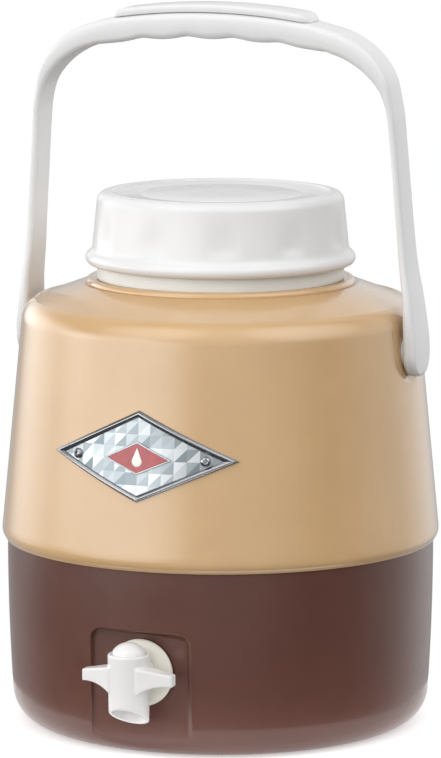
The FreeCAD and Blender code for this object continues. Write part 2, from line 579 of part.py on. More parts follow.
def make_grip_cap():
    """Pad that snaps over the top of the grip and follows its gentle arch."""
    half = GRIP_HALF - CAP_SHORT
    end_z = GRIP_END_Z + CAP_GAP
    top_z = GRIP_TOP_Z + CAP_GAP
    inset = CAP_SLOPE
    low = Part.Arc(at(-half, end_z), at(0, top_z), at(half, end_z)).toShape()
    high = Part.Arc(at(half - inset, end_z + CAP_THICK), at(0, top_z + CAP_THICK),
                    at(inset - half, end_z + CAP_THICK)).toShape()
    ends = [Part.LineSegment(at(half, end_z), at(half - inset, end_z + CAP_THICK)).toShape(),
            Part.LineSegment(at(inset - half, end_z + CAP_THICK), at(-half, end_z)).toShape()]
    face = Part.Face(Part.Wire(Part.__sortEdges__([low, high] + ends)))
    width = GRIP_WIDTH - CAP_NARROW
    face.translate(V(0, -width / 2, 0))
    return leaned(face.extrude(V(0, width, 0)))


# ---- tap ----
def barrel_rod(radius, z0, z1):
    return rod(radius, z1 - z0, V(0, -TAP_FRONT, z0), Z_AXIS)


def make_wing():
    """The +X finger wing: swept back a little, slim at its tip and hollowed underneath."""
    root_x = WING_ROOT_X
    low, high = WING_ROOT_LOW - WING_SPARE, WING_ROOT_HIGH + WING_SPARE
    outline = [(root_x, WING_ROOT_FRONT), (WING_BEND_X, WING_BEND_FRONT), (WING_TIP_X, WING_TIP_FRONT),
               (WING_TIP_X, -WING_TIP_BACK), (root_x, -WING_ROOT_BACK)]
    plan = prism([V(x, -TAP_FRONT - ahead, low) for x, ahead in outline], V(0, 0, high - low))
    y = -TAP_FRONT - 2 * WING_SPARE
    top = Part.LineSegment(V(root_x, y, WING_ROOT_HIGH), V(WING_TIP_X, y, WING_TIP_HIGH)).toShape()
    tip = Part.LineSegment(V(WING_TIP_X, y, WING_TIP_HIGH), V(WING_TIP_X, y, WING_TIP_LOW)).toShape()
    under = Part.Arc(V(WING_TIP_X, y, WING_TIP_LOW), V(WING_ARCH_X, y, WING_ARCH_Z),
                     V(root_x, y, WING_ROOT_LOW)).toShape()
    root = Part.LineSegment(V(root_x, y, WING_ROOT_LOW), V(root_x, y, WING_ROOT_HIGH)).toShape()
    elevation = Part.Face(Part.Wire([top, tip, under, root])).extrude(V(0, 4 * WING_SPARE, 0))
    return plan.common(elevation)


def make_tap_body():
    cone = Part.makeCone(BARREL_LOW_R, BARREL_TOP_R, BARREL_TOP_Z - BARREL_LOW_Z,
                         V(0, -TAP_FRONT, BARREL_LOW_Z), Z_AXIS)
    wing = make_wing()
    neck_start = NICHE_FLOOR + WASHER_OUT + FLANGE_DOME
    body = cone.fuse([wing, mirrored(wing), shank_rod(SHANK_R, SHANK_END, TAP_FRONT),
                      shank_rod(TAP_NECK_R, neck_start, TAP_FRONT)])
    body = body.cut(shank_rod(SHANK_BORE, SHANK_END - 1, TAP_FRONT - CHAMBER_R + CHAMBER_BITE))
    body = body.cut(barrel_rod(SPOUT_BORE, 0, SEAT_Z)).cut(barrel_rod(SEAT_BORE, SEAT_Z - 1, SEAT_TOP_Z + 1))
    body = body.cut(barrel_rod(CHAMBER_R, SEAT_TOP_Z, CHAMBER_TOP_Z))
    body = body.cut(barrel_rod(STEM_BORE, CHAMBER_TOP_Z - 1, WEB_TOP_Z + 1))
    body = body.cut(barrel_rod(BUTTON_R + BUTTON_FIT, WEB_TOP_Z, BARREL_TOP_Z + 1))
    back = V(0, -TAP_FRONT + BARREL_TOP_R, BARREL_LOW_Z)
    below = Part.makeBox(SPOUT_TOOL, SPOUT_TOOL, SPOUT_TOOL, V(-SPOUT_TOOL / 2, -SPOUT_TOOL, -SPOUT_TOOL))
    below.rotate(ORIGIN, X_AXIS, -math.degrees(SPOUT_CUT))
    below.translate(back)
    return body.cut(below)


def make_tap_flange():
    """Domed rose round the shank, against the niche's washer."""
    start = NICHE_FLOOR + WASHER_OUT
    bore = SHANK_R + FLANGE_FIT
    middle = ((FLANGE_R + FLANGE_TOP_R) / 2 + FLANGE_BULGE, FLANGE_DOME - FLANGE_DIP)
    section = wire_of((bore, 0), [(FLANGE_R, 0), (FLANGE_R, FLANGE_RIM),
                                  (FLANGE_TOP_R, FLANGE_DOME) + middle, (bore, FLANGE_DOME), (bore, 0)])
    rose = Part.Face(section).revolve(ORIGIN, Z_AXIS, 360)
    rose.rotate(ORIGIN, X_AXIS, 90)
    rose.translate(V(0, -start, TAP_Z))
    return rose


def make_outer_washer():
    return shank_rod(WASHER_R, NICHE_FLOOR, NICHE_FLOOR + WASHER_OUT).cut(shank_hole())


def make_inner_washer():
    return shank_rod(WASHER_R, PAD_FACE - WASHER_IN, PAD_FACE).cut(shank_hole())


def make_shank_nut():
    front = PAD_FACE - WASHER_IN - NUT_THICK
    corner = NUT_FLATS / math.sqrt(3)
    points = []
    for index in range(6):
        angle = math.radians(60 * index)
        points.append(V(corner * math.cos(angle), -front, TAP_Z + corner * math.sin(angle)))
    return prism(points, FORWARD * NUT_THICK).cut(shank_rod(SHANK_R + NUT_FIT, front - 1, PAD_FACE))


def make_stem_seal():
    low = CHAMBER_TOP_Z - STEM_SEAL_THICK
    return barrel_rod(STEM_SEAL_R, low, CHAMBER_TOP_Z).cut(barrel_rod(STEM_BORE, low - 1, CHAMBER_TOP_Z + 1))


def make_button():
    """Hollow domed thumb button with a socket for the stem."""
    rim_z, roof_z = BUTTON_RIM_Z, BUTTON_TOP_Z - BUTTON_ROOF
    rise = BUTTON_TOP_Z - rim_z
    dome_r = (BUTTON_R ** 2 + rise ** 2) / (2 * rise)
    half_angle = (math.atan2(rim_z - BUTTON_TOP_Z + dome_r, BUTTON_R) + math.pi / 2) / 2
    crown = arc_point((0, BUTTON_TOP_Z - dome_r), dome_r, half_angle)
    dome = turned((BUTTON_R, BUTTON_SKIRT_Z), [
        (BUTTON_R, rim_z), (0, BUTTON_TOP_Z) + crown, (0, roof_z),
        (SOCKET_R, roof_z), (BUTTON_BORE, rim_z), (BUTTON_BORE, BUTTON_SKIRT_Z)])
    socket = turned((STEM_R, roof_z - SOCKET_DEEP), [
        (SOCKET_R, roof_z - SOCKET_DEEP), (SOCKET_R, roof_z + SOCKET_BITE), (STEM_R, roof_z + SOCKET_BITE)])
    button = dome.fuse(socket)
    button.translate(V(0, -TAP_FRONT, 0))
    return button


def make_stem():
    foot = SEAT_Z - VALVE_THICK - STEM_FOOT
    shaft = barrel_rod(STEM_R, foot, BUTTON_TOP_Z - BUTTON_ROOF)
    return shaft.fuse(barrel_rod(STEM_FOOT_R, foot, foot + STEM_FOOT))


def make_valve():
    low = SEAT_Z - VALVE_THICK
    return barrel_rod(VALVE_R, low, SEAT_Z).cut(barrel_rod(STEM_R, low - 1, SEAT_Z + 1))


def make_spring():
    """Return spring between the barrel's web and the button's roof."""
    radius = SPRING_WIRE / 2
    low, high = WEB_TOP_Z + radius, BUTTON_RIM_Z - radius
    path = Part.makeHelix((high - low) / SPRING_TURNS, high - low, SPRING_R)
    corners = [at(*arc_point((SPRING_R, 0), radius, math.pi / 3 * corner)) for corner in range(7)]
    coil = Part.Wire(path.Edges).makePipeShell([Part.makePolygon(corners)], True, True)
    coil.translate(V(0, -TAP_FRONT, low))
    return coil


# ---- badge ----
def wall_skin(low, high):
    """A thin cone over the upper shell's wall, between two heights above its surface."""
    scale = 1 / math.cos(WALL_ANGLE)
    z0, z1 = BADGE_LOW_Z - BADGE_SPARE, BADGE_TOP_Z + BADGE_SPARE
    return turned((wall_radius(z0) + low * scale, z0), [
        (wall_radius(z0) + high * scale, z0), (wall_radius(z1) + high * scale, z1),
        (wall_radius(z1) + low * scale, z1)])


def lozenge(shrink, scale=1.0):
    """The badge's diamond as a prism towards the front, shrunk by a margin square to its sides."""
    half_x = wall_radius(BADGE_SIDE_Z) * math.sin(BADGE_HALF_ANGLE) * scale
    up, down = (BADGE_TOP_Z - BADGE_SIDE_Z) * scale, (BADGE_SIDE_Z - BADGE_LOW_Z) * scale
    less_up = shrink / math.cos(math.atan2(up, half_x))
    less_down = shrink / math.cos(math.atan2(down, half_x))
    less_x = shrink / math.sin(math.atan2((up + down) / 2, half_x))
    centre = BADGE_SIDE_Z
    points = [V(half_x - less_x, 0, centre), V(0, 0, centre + up - less_up),
              V(less_x - half_x, 0, centre), V(0, 0, centre - down + less_down)]
    return prism(points, V(0, -150, 0))


def make_badge_frame():
    return lozenge(0).cut(lozenge(BADGE_RIM)).common(wall_skin(BADGE_GAP, FRAME_THICK))


def make_badge_plate():
    plate = lozenge(BADGE_RIM + BADGE_GAP).common(wall_skin(BADGE_GAP, PLATE_THICK))
    for side in (1, -1):
        plate = plate.cut(badge_screw_line(side, SCREW_SHANK_R + SCREW_FIT, SCREW_CUT, SCREW_CUT_PLATE))
    return plate


def make_badge_emblem():
    low = PLATE_THICK + BADGE_GAP
    return lozenge(0, EMBLEM_SCALE).common(wall_skin(low, low + EMBLEM_THICK))


def make_badge_screws():
    screws = []
    under = PLATE_THICK + SCREW_HEAD_UP
    top = under + SCREW_HEAD
    for side in (1, -1):
        head = badge_screw_line(side, SCREW_HEAD_R, SCREW_HEAD, top)
        shank = badge_screw_line(side, SCREW_SHANK_R - SCREW_PINCH, SCREW_SHANK, under + SCREW_HEAD / 4)
        drive = badge_screw_line(side, SCREW_DRIVE_R, SCREW_DRIVE, top)
        screws.append(head.fuse(shank).cut(drive))
    return Part.makeCompound(screws)


def main():
    os.makedirs("parts", exist_ok=True)
    bush = make_bush()
    pieces = {
        "upper_shell": make_upper_shell(),
        "lower_shell": make_lower_shell(),
        "reservoir_liner": make_liner(),
        "reservoir_neck": make_neck(),
        "insulation_foam": make_foam(),
        "foam_fill_plug": make_foam_plug(),
        "pivot_bush_right": bush,
        "pivot_bush_left": mirrored(bush),
        "badge_frame": make_badge_frame(),
        "badge_plate": make_badge_plate(),
        "badge_emblem": make_badge_emblem(),
        "badge_screws": make_badge_screws(),
        "tap_body": make_tap_body(),
        "tap_flange": make_tap_flange(),
        "tap_outer_washer": make_outer_washer(),
        "tap_inner_washer": make_inner_washer(),
        "tap_shank_nut": make_shank_nut(),
        "tap_stem_seal": make_stem_seal(),
        "tap_button": make_button(),
        "tap_stem": make_stem(),
        "tap_valve": make_valve(),
        "tap_spring": make_spring(),
        "lid_shell": make_lid_shell(),
        "lid_plug": make_lid_plug(),
        "lid_foam": make_lid_foam(),
        "lid_gasket": make_lid_gasket(),
        "handle_bail": make_bail(),
        "handle_grip_cap": make_grip_cap(),
    }
    for node, shape in pieces.items():
        save(node, shape)


main()
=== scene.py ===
import json
import math

import bmesh
import bpy
from mathutils import Matrix, Vector


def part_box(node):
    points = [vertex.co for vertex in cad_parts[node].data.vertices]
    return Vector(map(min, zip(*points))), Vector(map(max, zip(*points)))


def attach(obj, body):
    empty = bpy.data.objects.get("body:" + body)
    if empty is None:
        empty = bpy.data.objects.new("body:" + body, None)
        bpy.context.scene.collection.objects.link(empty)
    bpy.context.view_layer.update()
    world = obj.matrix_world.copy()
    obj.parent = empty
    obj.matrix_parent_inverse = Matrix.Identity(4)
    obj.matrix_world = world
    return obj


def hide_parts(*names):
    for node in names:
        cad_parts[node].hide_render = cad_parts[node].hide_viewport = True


# Insulated drinks jug: tan and brown moulded shells, white screw lid, folding bail and
# push-button tap. Sizes below are millimetres in the jug's own frame: origin at the centre
# of the underside, +Z up, the tap and the badge towards -Y, the bail's pegs along X.
# "front" distances run along -Y from the jug's axis.

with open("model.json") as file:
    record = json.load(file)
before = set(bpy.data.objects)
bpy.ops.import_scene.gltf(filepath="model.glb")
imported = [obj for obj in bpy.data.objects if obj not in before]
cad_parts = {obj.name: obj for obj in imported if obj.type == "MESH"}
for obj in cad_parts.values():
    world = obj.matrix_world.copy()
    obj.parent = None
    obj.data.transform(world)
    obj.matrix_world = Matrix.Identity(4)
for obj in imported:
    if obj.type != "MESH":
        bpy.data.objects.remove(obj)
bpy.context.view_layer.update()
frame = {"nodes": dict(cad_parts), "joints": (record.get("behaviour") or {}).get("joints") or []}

MM = 0.001


def node_box(node):
    low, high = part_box(node)
    return low / MM, high / MM


# ---- sizes read from the frame ----
neck_low, neck_high = node_box("reservoir_neck")
lid_low, lid_high = node_box("lid_shell")
button_low, button_high = node_box("tap_button")
rose_low, rose_high = node_box("tap_flange")
badge_low, badge_high = node_box("badge_frame")

SEAM_Z = node_box("upper_shell")[0].z     # lower lip of the tan shell
PIVOT_Z = next(j for j in frame["joints"] if j["name"] == "handle_fold")["pos_m"][2] / MM
TAP_FRONT = -(button_low.y + button_high.y) / 2    # the tap's upright barrel
TAP_Z = (rose_low.z + rose_high.z) / 2             # its shank
NICHE_FLOOR = -node_box("tap_outer_washer")[1].y   # flat floor behind the tap
LID_TOP_Z = lid_high.z - 0.1
LID_SKIRT_Z = lid_low.z

# ---- shells ----
WALL = 2.5
IN_WALL = 1.2                             # a point this deep under the outside is the inner skin
LIP_R, BAND_R, BAND_Z = 123.1, 125.0, 111.0
LIP_ROUND, LIP_EDGE = 5.0, 0.3            # the lip rolls in under the widest line
WALL_TAPER = 0.0961
LOWER_R, LAP_TOP_Z, LAP_GAP, LAP_ROOM = 122.0, 118.0, 0.05, 0.5
CREASE_Z, CREASE_ANGLE = 243.4, math.radians(60)
TOP_FILLET, STEP = 15.5, 0.6
CREASE_KEEP = 0.3                         # no point this near the crease is moved
NECK_FOOT_R, NECK_FOOT_Z = 77.5, 252.9
BEAD_R, BEAD_RADIUS = 74.0, 2.6
COLLAR_LAND_Z, COLLAR_BORE = 254.3, 67.0
FOOT_R, BASE_FILLET = 100.5, 19.0
BELLY_R, BELLY_Z, LOWER_STRAIGHT_Z = 121.2, 55.0, 98.0
GROOVE_IN, GROOVE_OUT, GROOVE_DEEP = 66.0, 84.0, 1.5
PLUG_Y, PLUG_R = 40.0, 11.0
POCKET_HALF, POCKET_LIP, POCKET_DEEP, POCKET_CENTRE_Z = 19.0, 1.7, 0.8, 221.0
POCKET_BACK_X = 108.0                     # the shell's inner skin behind the pocket
POCKET_ZONE_LOW, POCKET_ZONE_HIGH, POCKET_ZONE_X = 190, 250, 95
POCKET_FADE = 8                           # the channel runs out this far below the crease
BUSH_R, BUSH_START_X, BUSH_TOOL_X = 7.0, 103.0, 120.0
BOSS_R, BOSS_FACE_X, BOSS_LONG, BOSS_EDGE = 11.0, 113.1, 3.0, 0.4
NICHE_HALF, NICHE_TOP_Z, NICHE_CORNER = 30.0, 72.0, 7.0
NICHE_DRAFT, NICHE_SOFT_DRAFT = 4.0, 1.2   # its side's slope: steep, but easy on the +X side
NICHE_ZONE_Y, NICHE_ZONE_Z = -85, 95
SHANK_HOLE_R = 9.3
ROUND_STEPS = 240                         # steps of a full turn on the shells

# ---- neck and lid ----
NECK_BORE, NECK_R, NECK_RING_R, NECK_RING_TOP = 63.0, 66.0, 70.4, 262.8
MOUTH_ROUND = 1.2
THREAD_LEAD, THREAD_TURNS, THREAD_HEIGHT, THREAD_STARTS = 12.0, 0.9, 2.2, 2
THREAD_FIRST = math.radians(25)
NECK_THREAD_Z, LID_THREAD_Z = 272.0, 269.1
LID_BEAD_R, LID_FOOT_R, LID_FOOT_Z = 76.9, 73.1, 272.5
LID_SHOULDER_R, LID_SHOULDER_Z = 70.3, 298.8
LID_BORE, LID_ROOF_Z, LID_WELD_Z, LID_WELD_R = 69.2, 301.0, 297.0, 57.5
LID_RIDGE_R, LID_DISC_R = 63.0, 46.0
LID_BEAD_ROUND, LID_CROWN, LID_RIDGE_ROUND = 3.8, 5.2, 0.9
LID_SUNK = 1.2                            # the flat of its top lies this far inside the ridge
FLUTES, FLUTE_HALF, FLUTE_DEEP = 11, math.radians(10), 1.2
FLUTE_FIRST = math.radians(-1.2)
FLUTE_TOP_FADE, FLUTE_FOOT_FADE = 20, 6

# ---- bail ----
LEAN = math.radians(2.2)
PADDLE_R, PADDLE_IN, PADDLE_OUT = 13.5, 115.0, 122.7
ARM_HALF, GRIP_HALF_WIDTH = 10.3, 11.8
BAIL_EDGE, GRIP_EDGE = 2.6, 4.2           # how round the arms' and the grip's edges are
NARROW_FROM, NARROW_OVER = 8, 60          # heights above the pegs where the arm narrows
WIDE_FROM, WIDE_OVER = 120, 50            # and where it widens to the grip
GRIP_END_X, GRIP_TOP_Z, GRIP_FALL = 60.0, 407.0, 4.7
LOBE_ARCH_Z, LOBE_ARCH_FALL = 393.8, 4.0       # between the lobes
LOBE_PITCH, LOBE_DEPTH, LOBES = 28.0, 2.0, 5
PEG_R, PEG_END_X = 5.0, 105.5
CAP_HALF, CAP_THICK, CAP_GAP, CAP_HALF_WIDTH = 59.5, 4.3, 0.15, 10.3
CAP_END, CAP_EDGE = 7, 1.9                # its ends die down over this length

# ---- tap ----
BARREL_TOP_Z, BARREL_TOP_R = 62.0, 11.8
BARREL_LOW_Z, BARREL_LOW_R = 19.6, 11.1
SPOUT_CUT, SPOUT_BORE = math.radians(30), 9.2
SEAT_Z, SEAT_TOP_Z, SEAT_BORE = 37.0, 40.0, 5.5
CHAMBER_R, CHAMBER_TOP_Z, WEB_TOP_Z, STEM_BORE = 8.3, 53.3, 55.0, 2.5
SHANK_R, SHANK_BORE = 9.0, 4.5
WING_TIP_X, WING_TIP_LOW, WING_TIP_HIGH = 26.9, 45.4, 52.0
WING_ROOT_LOW, WING_ROOT_HIGH = 35.0, 56.6
WING_ARCH_X, WING_ARCH_Z = 13.5, 43.9
WING_ROOT_X, WING_FACE_X = 3.0, 7.2       # its front face begins at the second, proud of the barrel
WING_ROOT_FRONT, WING_FRONT, WING_SWEEP, WING_BACK = 7.5, 9.9, 6.5, 4.0    # from the barrel's axis
ROSE_R, ROSE_RIM, ROSE_DOME, ROSE_EDGE = 18.9, 1.6, 4.0, 0.4
ROSE_MIDDLE = (15.4, 3.15)                # a point half way up its dome
BUTTON_R, BUTTON_RIM_Z, BUTTON_ROOM = 9.12, 63.6, 0.25
BUTTON_BORE, BUTTON_ROOF, SOCKET_R = 7.4, 2.0, 3.8
SKIRT_SHORT, SKIRT_EDGE = 0.8, 0.6        # the skirt clears the soft corner at the bore's foot
TAP_NECK_R = 10.2                         # thicker part between the rose and the barrel

# ---- badge ----
BADGE_RIM, BADGE_GAP = 3.4, 0.05
FRAME_THICK, PLATE_THICK, EMBLEM_THICK = 2.2, 1.0, 1.1
EMBLEM_SCALE = 0.36
PER_SIDE = 24                             # points along each side of the diamond
DROP_R, DROP_LOW, DROP_TALL = 2.9, 1.4, 7.6        # round part, its drop below the middle, height
SCREW_ANGLE, SCREW_HEAD_R, SCREW_HEAD = math.radians(18.4), 2.9, 1.75


# ---- outlines ----
def arc(centre, radius, start, end, steps):
    """Points along an arc, both ends included."""
    angles = [start + (end - start) * step / steps for step in range(steps + 1)]
    return [(centre[0] + radius * math.cos(a), centre[1] + radius * math.sin(a)) for a in angles]


def between(start, end, steps):
    """Points along a straight line, without its ends."""
    return [tuple(a + (b - a) * step / steps for a, b in zip(start, end)) for step in range(1, steps)]


def soft_least(a, b, blend):
    """The lesser of a and b, rounded over where the two meet."""
    share = max(0.0, min(1.0, 0.5 + (b - a) / (2 * blend)))
    return b * (1 - share) + a * share - blend * share * (1 - share)


def soft_most(a, b, blend):
    return -soft_least(-a, -b, blend)


def smooth_line(points, per_span):
    """A smooth line through the points (a Catmull-Rom spline), sampled per_span times a span."""
    ends = [2 * points[0] - points[1]] + points + [2 * points[-1] - points[-2]]
    line = []
    for before, start, end, after in zip(ends, ends[1:], ends[2:], ends[3:]):
        for step in range(per_span):
            t = step / per_span
            line.append(0.5 * (2 * start + (end - before) * t
                               + (2 * before - 5 * start + 4 * end - after) * t ** 2
                               + (3 * start - before - 3 * end + after) * t ** 3))
    return line + [points[-1]]


# ---- mesh making ----
def spun(section, steps=ROUND_STEPS):
    """Turn a closed section, (radius, height) points, all the way round the jug's axis."""
    bm = bmesh.new()
    corners = [bm.verts.new((r, 0, z)) for r, z in section]
    pairs = zip(corners, corners[1:] + corners[:1])
    edges = [bm.edges.new((a, b)) for a, b in pairs if max(a.co.x, b.co.x) > 1e-6]
    bmesh.ops.spin(bm, geom=corners + edges, cent=(0, 0, 0), axis=(0, 0, 1), angle=math.tau,
                   steps=steps, use_merge=True)
    return bm


def lofted(bm, rings, close=(True, True), tones=None):
    """Join rings of points in order into a tube, and close its ends where asked; tones gives
    the number of the finish of each band, and the last one's is the far end's too."""
    loops = []
    for ring in rings:
        corners = [bm.verts.new(point) for point in ring]
        loops.append([bm.edges.new(pair) for pair in zip(corners, corners[1:] + corners[:1])])
    tones = tones or [0] * (len(rings) - 1)
    for near, far, tone in zip(loops, loops[1:], tones):
        for face in bmesh.ops.bridge_loops(bm, edges=near + far)["faces"]:
            face.material_index = tone
    for end, wanted, tone in zip((loops[0], loops[-1]), close, (tones[0], tones[-1])):
        if wanted:
            for face in bmesh.ops.contextual_create(bm, geom=end)["faces"]:
                face.material_index = tone


def finer(bm, wanted, cuts):
    """Split the faces that wanted(centre) picks, so that a soft edge has enough of them."""
    faces = [f for f in bm.faces if wanted(f.calc_center_median())]
    edges = list({e for f in faces for e in f.edges})
    bmesh.ops.subdivide_edges(bm, edges=edges, cuts=cuts, use_grid_fill=True)


def rod(bm, radius, start, end, steps=48, end_radius=None):
    """A closed cylinder or cone between two points."""
    start, end = Vector(start), Vector(end)
    turn = (end - start).to_track_quat("Z", "Y").to_matrix().to_4x4()
    place = Matrix.Translation((start + end) / 2) @ turn
    bmesh.ops.create_cone(bm, cap_ends=True, segments=steps, radius1=radius,
                          radius2=radius if end_radius is None else end_radius,
                          depth=(end - start).length, matrix=place)


def as_object(name, bm, merge=0.002):
    """Close the seams, turn the faces outwards and make the mesh an object in metres."""
    bmesh.ops.remove_doubles(bm, verts=bm.verts, dist=merge)
    bmesh.ops.recalc_face_normals(bm, faces=bm.faces)
    bmesh.ops.scale(bm, vec=(MM, MM, MM), verts=bm.verts)
    mesh = bpy.data.meshes.new(name)
    bm.to_mesh(mesh)
    bm.free()
    piece = bpy.data.objects.new(name, mesh)
    bpy.context.scene.collection.objects.link(piece)
    return piece


def settled(piece):
    """Keep the result of the piece's modifiers as its mesh."""
    graph = bpy.context.evaluated_depsgraph_get()
    mesh = bpy.data.meshes.new_from_object(piece.evaluated_get(graph))
    piece.modifiers.clear()
    piece.data = mesh


def carved(piece, cutter_bm):
    """Take the cutter's solids away from the piece."""
    cutter = as_object("cutter", cutter_bm)
    cut = piece.modifiers.new("cut", "BOOLEAN")
    cut.operation = "DIFFERENCE"
    cut.solver = "EXACT"
    cut.object = cutter
    settled(piece)
    bpy.data.objects.remove(cutter)
    return piece


def joined(piece, more):
    """Add further closed parts to a piece."""
    extra = as_object("extra", more)
    bm = bmesh.new()
    for mesh in (piece.data, extra.data):
        bm.from_mesh(mesh)
    bm.to_mesh(piece.data)
    bm.free()
    bpy.data.objects.remove(extra)


def moulded_together(piece, voxel, rounds):
    """Melt the piece's overlapping solids into one skin with small soft edges, as a mould gives."""
    melt = piece.modifiers.new("melt", "REMESH")
    melt.mode = "VOXEL"
    melt.voxel_size = voxel * MM
    settled(piece)
    bm = bmesh.new()
    bm.from_mesh(piece.data)
    for _ in range(rounds):
        bmesh.ops.smooth_vert(bm, verts=bm.verts, factor=0.5, use_axis_x=True, use_axis_y=True,
                              use_axis_z=True)
    bm.to_mesh(piece.data)
    bm.free()
    return piece


def fitted(piece, materials, body, node, crisp=35):
    """Shade the piece, give it its finish and let it ride on its body."""
    for material in materials:
        piece.data.materials.append(material)
    piece.data.shade_smooth()
    piece.data.set_sharp_from_angle(angle=math.radians(crisp))
    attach(piece, body)
    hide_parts(node)


# ---- finishes ----
def paint(code):
    """An sRGB hex colour as linear light."""
    channels = [int(code[at:at + 2], 16) / 255 for at in (0, 2, 4)]
    linear = [c / 12.92 if c <= 0.04045 else ((c + 0.055) / 1.055) ** 2.4 for c in channels]
    return (*linear, 1.0)


def add_node(tree, kind, inputs=None, stops=(), **settings):
    """Add a node with its settings; an input is a number, a colour or another node's output,
    and a colour ramp's stops are (place, hex colour)."""
    made = tree.nodes.new("ShaderNode" + kind)
    for at, (place, code) in enumerate(stops):
        ramp = made.color_ramp.elements
        stop = ramp[at] if at < 2 else ramp.new(place)
        stop.position = place
        stop.color = paint(code)
    for name, value in settings.items():
        setattr(made, name, value)
    for name, value in (inputs or {}).items():
        if isinstance(value, bpy.types.NodeSocket):
            tree.links.new(value, made.inputs[name])
        else:
            made.inputs[name].default_value = value
    return made


def new_material(name):
    """An empty material, its tree, and the place on the piece that its patterns follow."""
    material = bpy.data.materials.new(name)
    material.use_nodes = True
    tree = material.node_tree
    tree.nodes.clear()
    return material, tree, add_node(tree, "TexCoord").outputs["Object"]


def moulded_plastic(name, light, deep, roughness, peel_mm=3.0, peel_depth=0.001, ior=1.5, coat=0.0):
    """Injection-moulded plastic: its pigment clouds a little over a hand's width, and the
    polish of the steel mould leaves a faint orange peel and fine uneven gloss."""
    material, tree, where = new_material(name)
    clouds = add_node(tree, "TexNoise", {"Vector": where, "Scale": 1 / (40 * MM), "Detail": 3.0,
                                         "Roughness": 0.55})
    peel = add_node(tree, "TexNoise", {"Vector": where, "Scale": 1 / (peel_mm * MM), "Detail": 2.0})
    gloss = add_node(tree, "TexNoise", {"Vector": where, "Scale": 1 / (9 * MM), "Detail": 4.0,
                                        "Roughness": 0.6})
    pigment = add_node(tree, "ValToRGB", {"Fac": clouds.outputs["Fac"]},
                       stops=[(0.3, deep), (0.7, light)])
    sheen = add_node(tree, "MapRange", {"Value": gloss.outputs["Fac"], "From Min": 0.3, "From Max": 0.7,
                                        "To Min": roughness * 0.88, "To Max": roughness * 1.14})
    bump = add_node(tree, "Bump", {"Height": peel.outputs["Fac"], "Strength": 1.0,
                                   "Distance": peel_depth * MM})
    shader = add_node(tree, "BsdfPrincipled", {
        "Base Color": pigment.outputs["Color"], "Roughness": sheen.outputs["Result"],
        "Normal": bump.outputs["Normal"], "IOR": ior, "Coat Weight": coat, "Coat Roughness": 0.1})
    add_node(tree, "OutputMaterial", {"Surface": shader.outputs[0]})
    return material


def one_pattern(name, pattern, inputs, stops, look, gloss=None, relief=None):
    """A finish whose colour follows one fine pattern; so do its gloss, (least, most) roughness,
    and its relief in millimetres, where they are given."""
    material, tree, where = new_material(name)
    grain = add_node(tree, pattern, {"Vector": where, **inputs}).outputs[0]
    look["Base Color"] = add_node(tree, "ValToRGB", {"Fac": grain}, stops=stops).outputs["Color"]
    if gloss:
        spread = {"Value": grain, "To Min": gloss[0], "To Max": gloss[1]}
        look["Roughness"] = add_node(tree, "MapRange", spread).outputs["Result"]
    if relief:
        look["Normal"] = add_node(tree, "Bump", {"Height": grain, "Distance": relief * MM}).outputs["Normal"]
    shader = add_node(tree, "BsdfPrincipled", look)
    add_node(tree, "OutputMaterial", {"Surface": shader.outputs[0]})
    return material


def facet_printed_aluminium():
    """Badge plate: thin aluminium printed with square silver facets, each split corner to
    corner into a lighter and a darker half, under a fine brushed grain."""
    material, tree, where = new_material("facet-printed brushed aluminium")
    facet = 7.0 * MM
    cells = add_node(tree, "VectorMath", {0: where, 1: (1 / facet, 1 / facet, 1 / facet)},
                     operation="MULTIPLY")
    inside = add_node(tree, "VectorMath", {0: cells.outputs[0]}, operation="FRACTION")
    corner = add_node(tree, "VectorMath", {0: cells.outputs[0]}, operation="FLOOR")
    parts = add_node(tree, "SeparateXYZ", {0: inside.outputs[0]})
    half = add_node(tree, "Math", {0: parts.outputs["X"], 1: parts.outputs["Z"]}, operation="GREATER_THAN")
    steps = add_node(tree, "SeparateXYZ", {0: corner.outputs[0]})
    seed = add_node(tree, "CombineXYZ", {"X": steps.outputs["X"], "Y": half.outputs[0],
                                         "Z": steps.outputs["Z"]})
    tone = add_node(tree, "TexWhiteNoise", {"Vector": seed.outputs[0]}, noise_dimensions="3D")
    grain_place = add_node(tree, "Mapping", {"Vector": where, "Scale": (1 / (6 * MM), 1, 1 / (0.15 * MM))})
    grain = add_node(tree, "TexNoise", {"Vector": grain_place.outputs[0], "Scale": 1.0, "Detail": 2.0})
    silver = add_node(tree, "ValToRGB", {"Fac": tone.outputs["Value"]},
                      stops=[(0.0, "7A858B"), (0.45, "A9B1B5"), (1.0, "DCDFE1")])
    gloss = add_node(tree, "MapRange", {"Value": grain.outputs["Fac"], "To Min": 0.25, "To Max": 0.45})
    shader = add_node(tree, "BsdfPrincipled", {"Base Color": silver.outputs["Color"], "Metallic": 0.8,
                                               "Roughness": gloss.outputs["Result"]})
    add_node(tree, "OutputMaterial", {"Surface": shader.outputs[0]})
    return material


def enamel(name, light, deep):
    """Fired enamel: deep, glassy colour that pools a shade darker in places."""
    return one_pattern(name, "TexNoise", {"Scale": 1 / (6 * MM), "Detail": 2.0}, [(0.3, deep), (0.7, light)],
                       {"Roughness": 0.12, "IOR": 1.55, "Coat Weight": 0.5})


# Moulded against a mirror-polished tool: high gloss.
TAN = moulded_plastic("gloss moulded polypropylene, tan", "CFAA7B", "C9A476", 0.14, coat=1.0)
# The same plastic from a tool with a satin finish.
BROWN = moulded_plastic("satin moulded polypropylene, brown", "603D33", "59372E", 0.24,
                        peel_depth=0.0008, coat=0.25)
# Bail and lid: a cool, bright white with a semi-gloss skin.
WHITE = moulded_plastic("semi-gloss moulded polypropylene, white", "E4E4E4", "E0E0E0", 0.22)
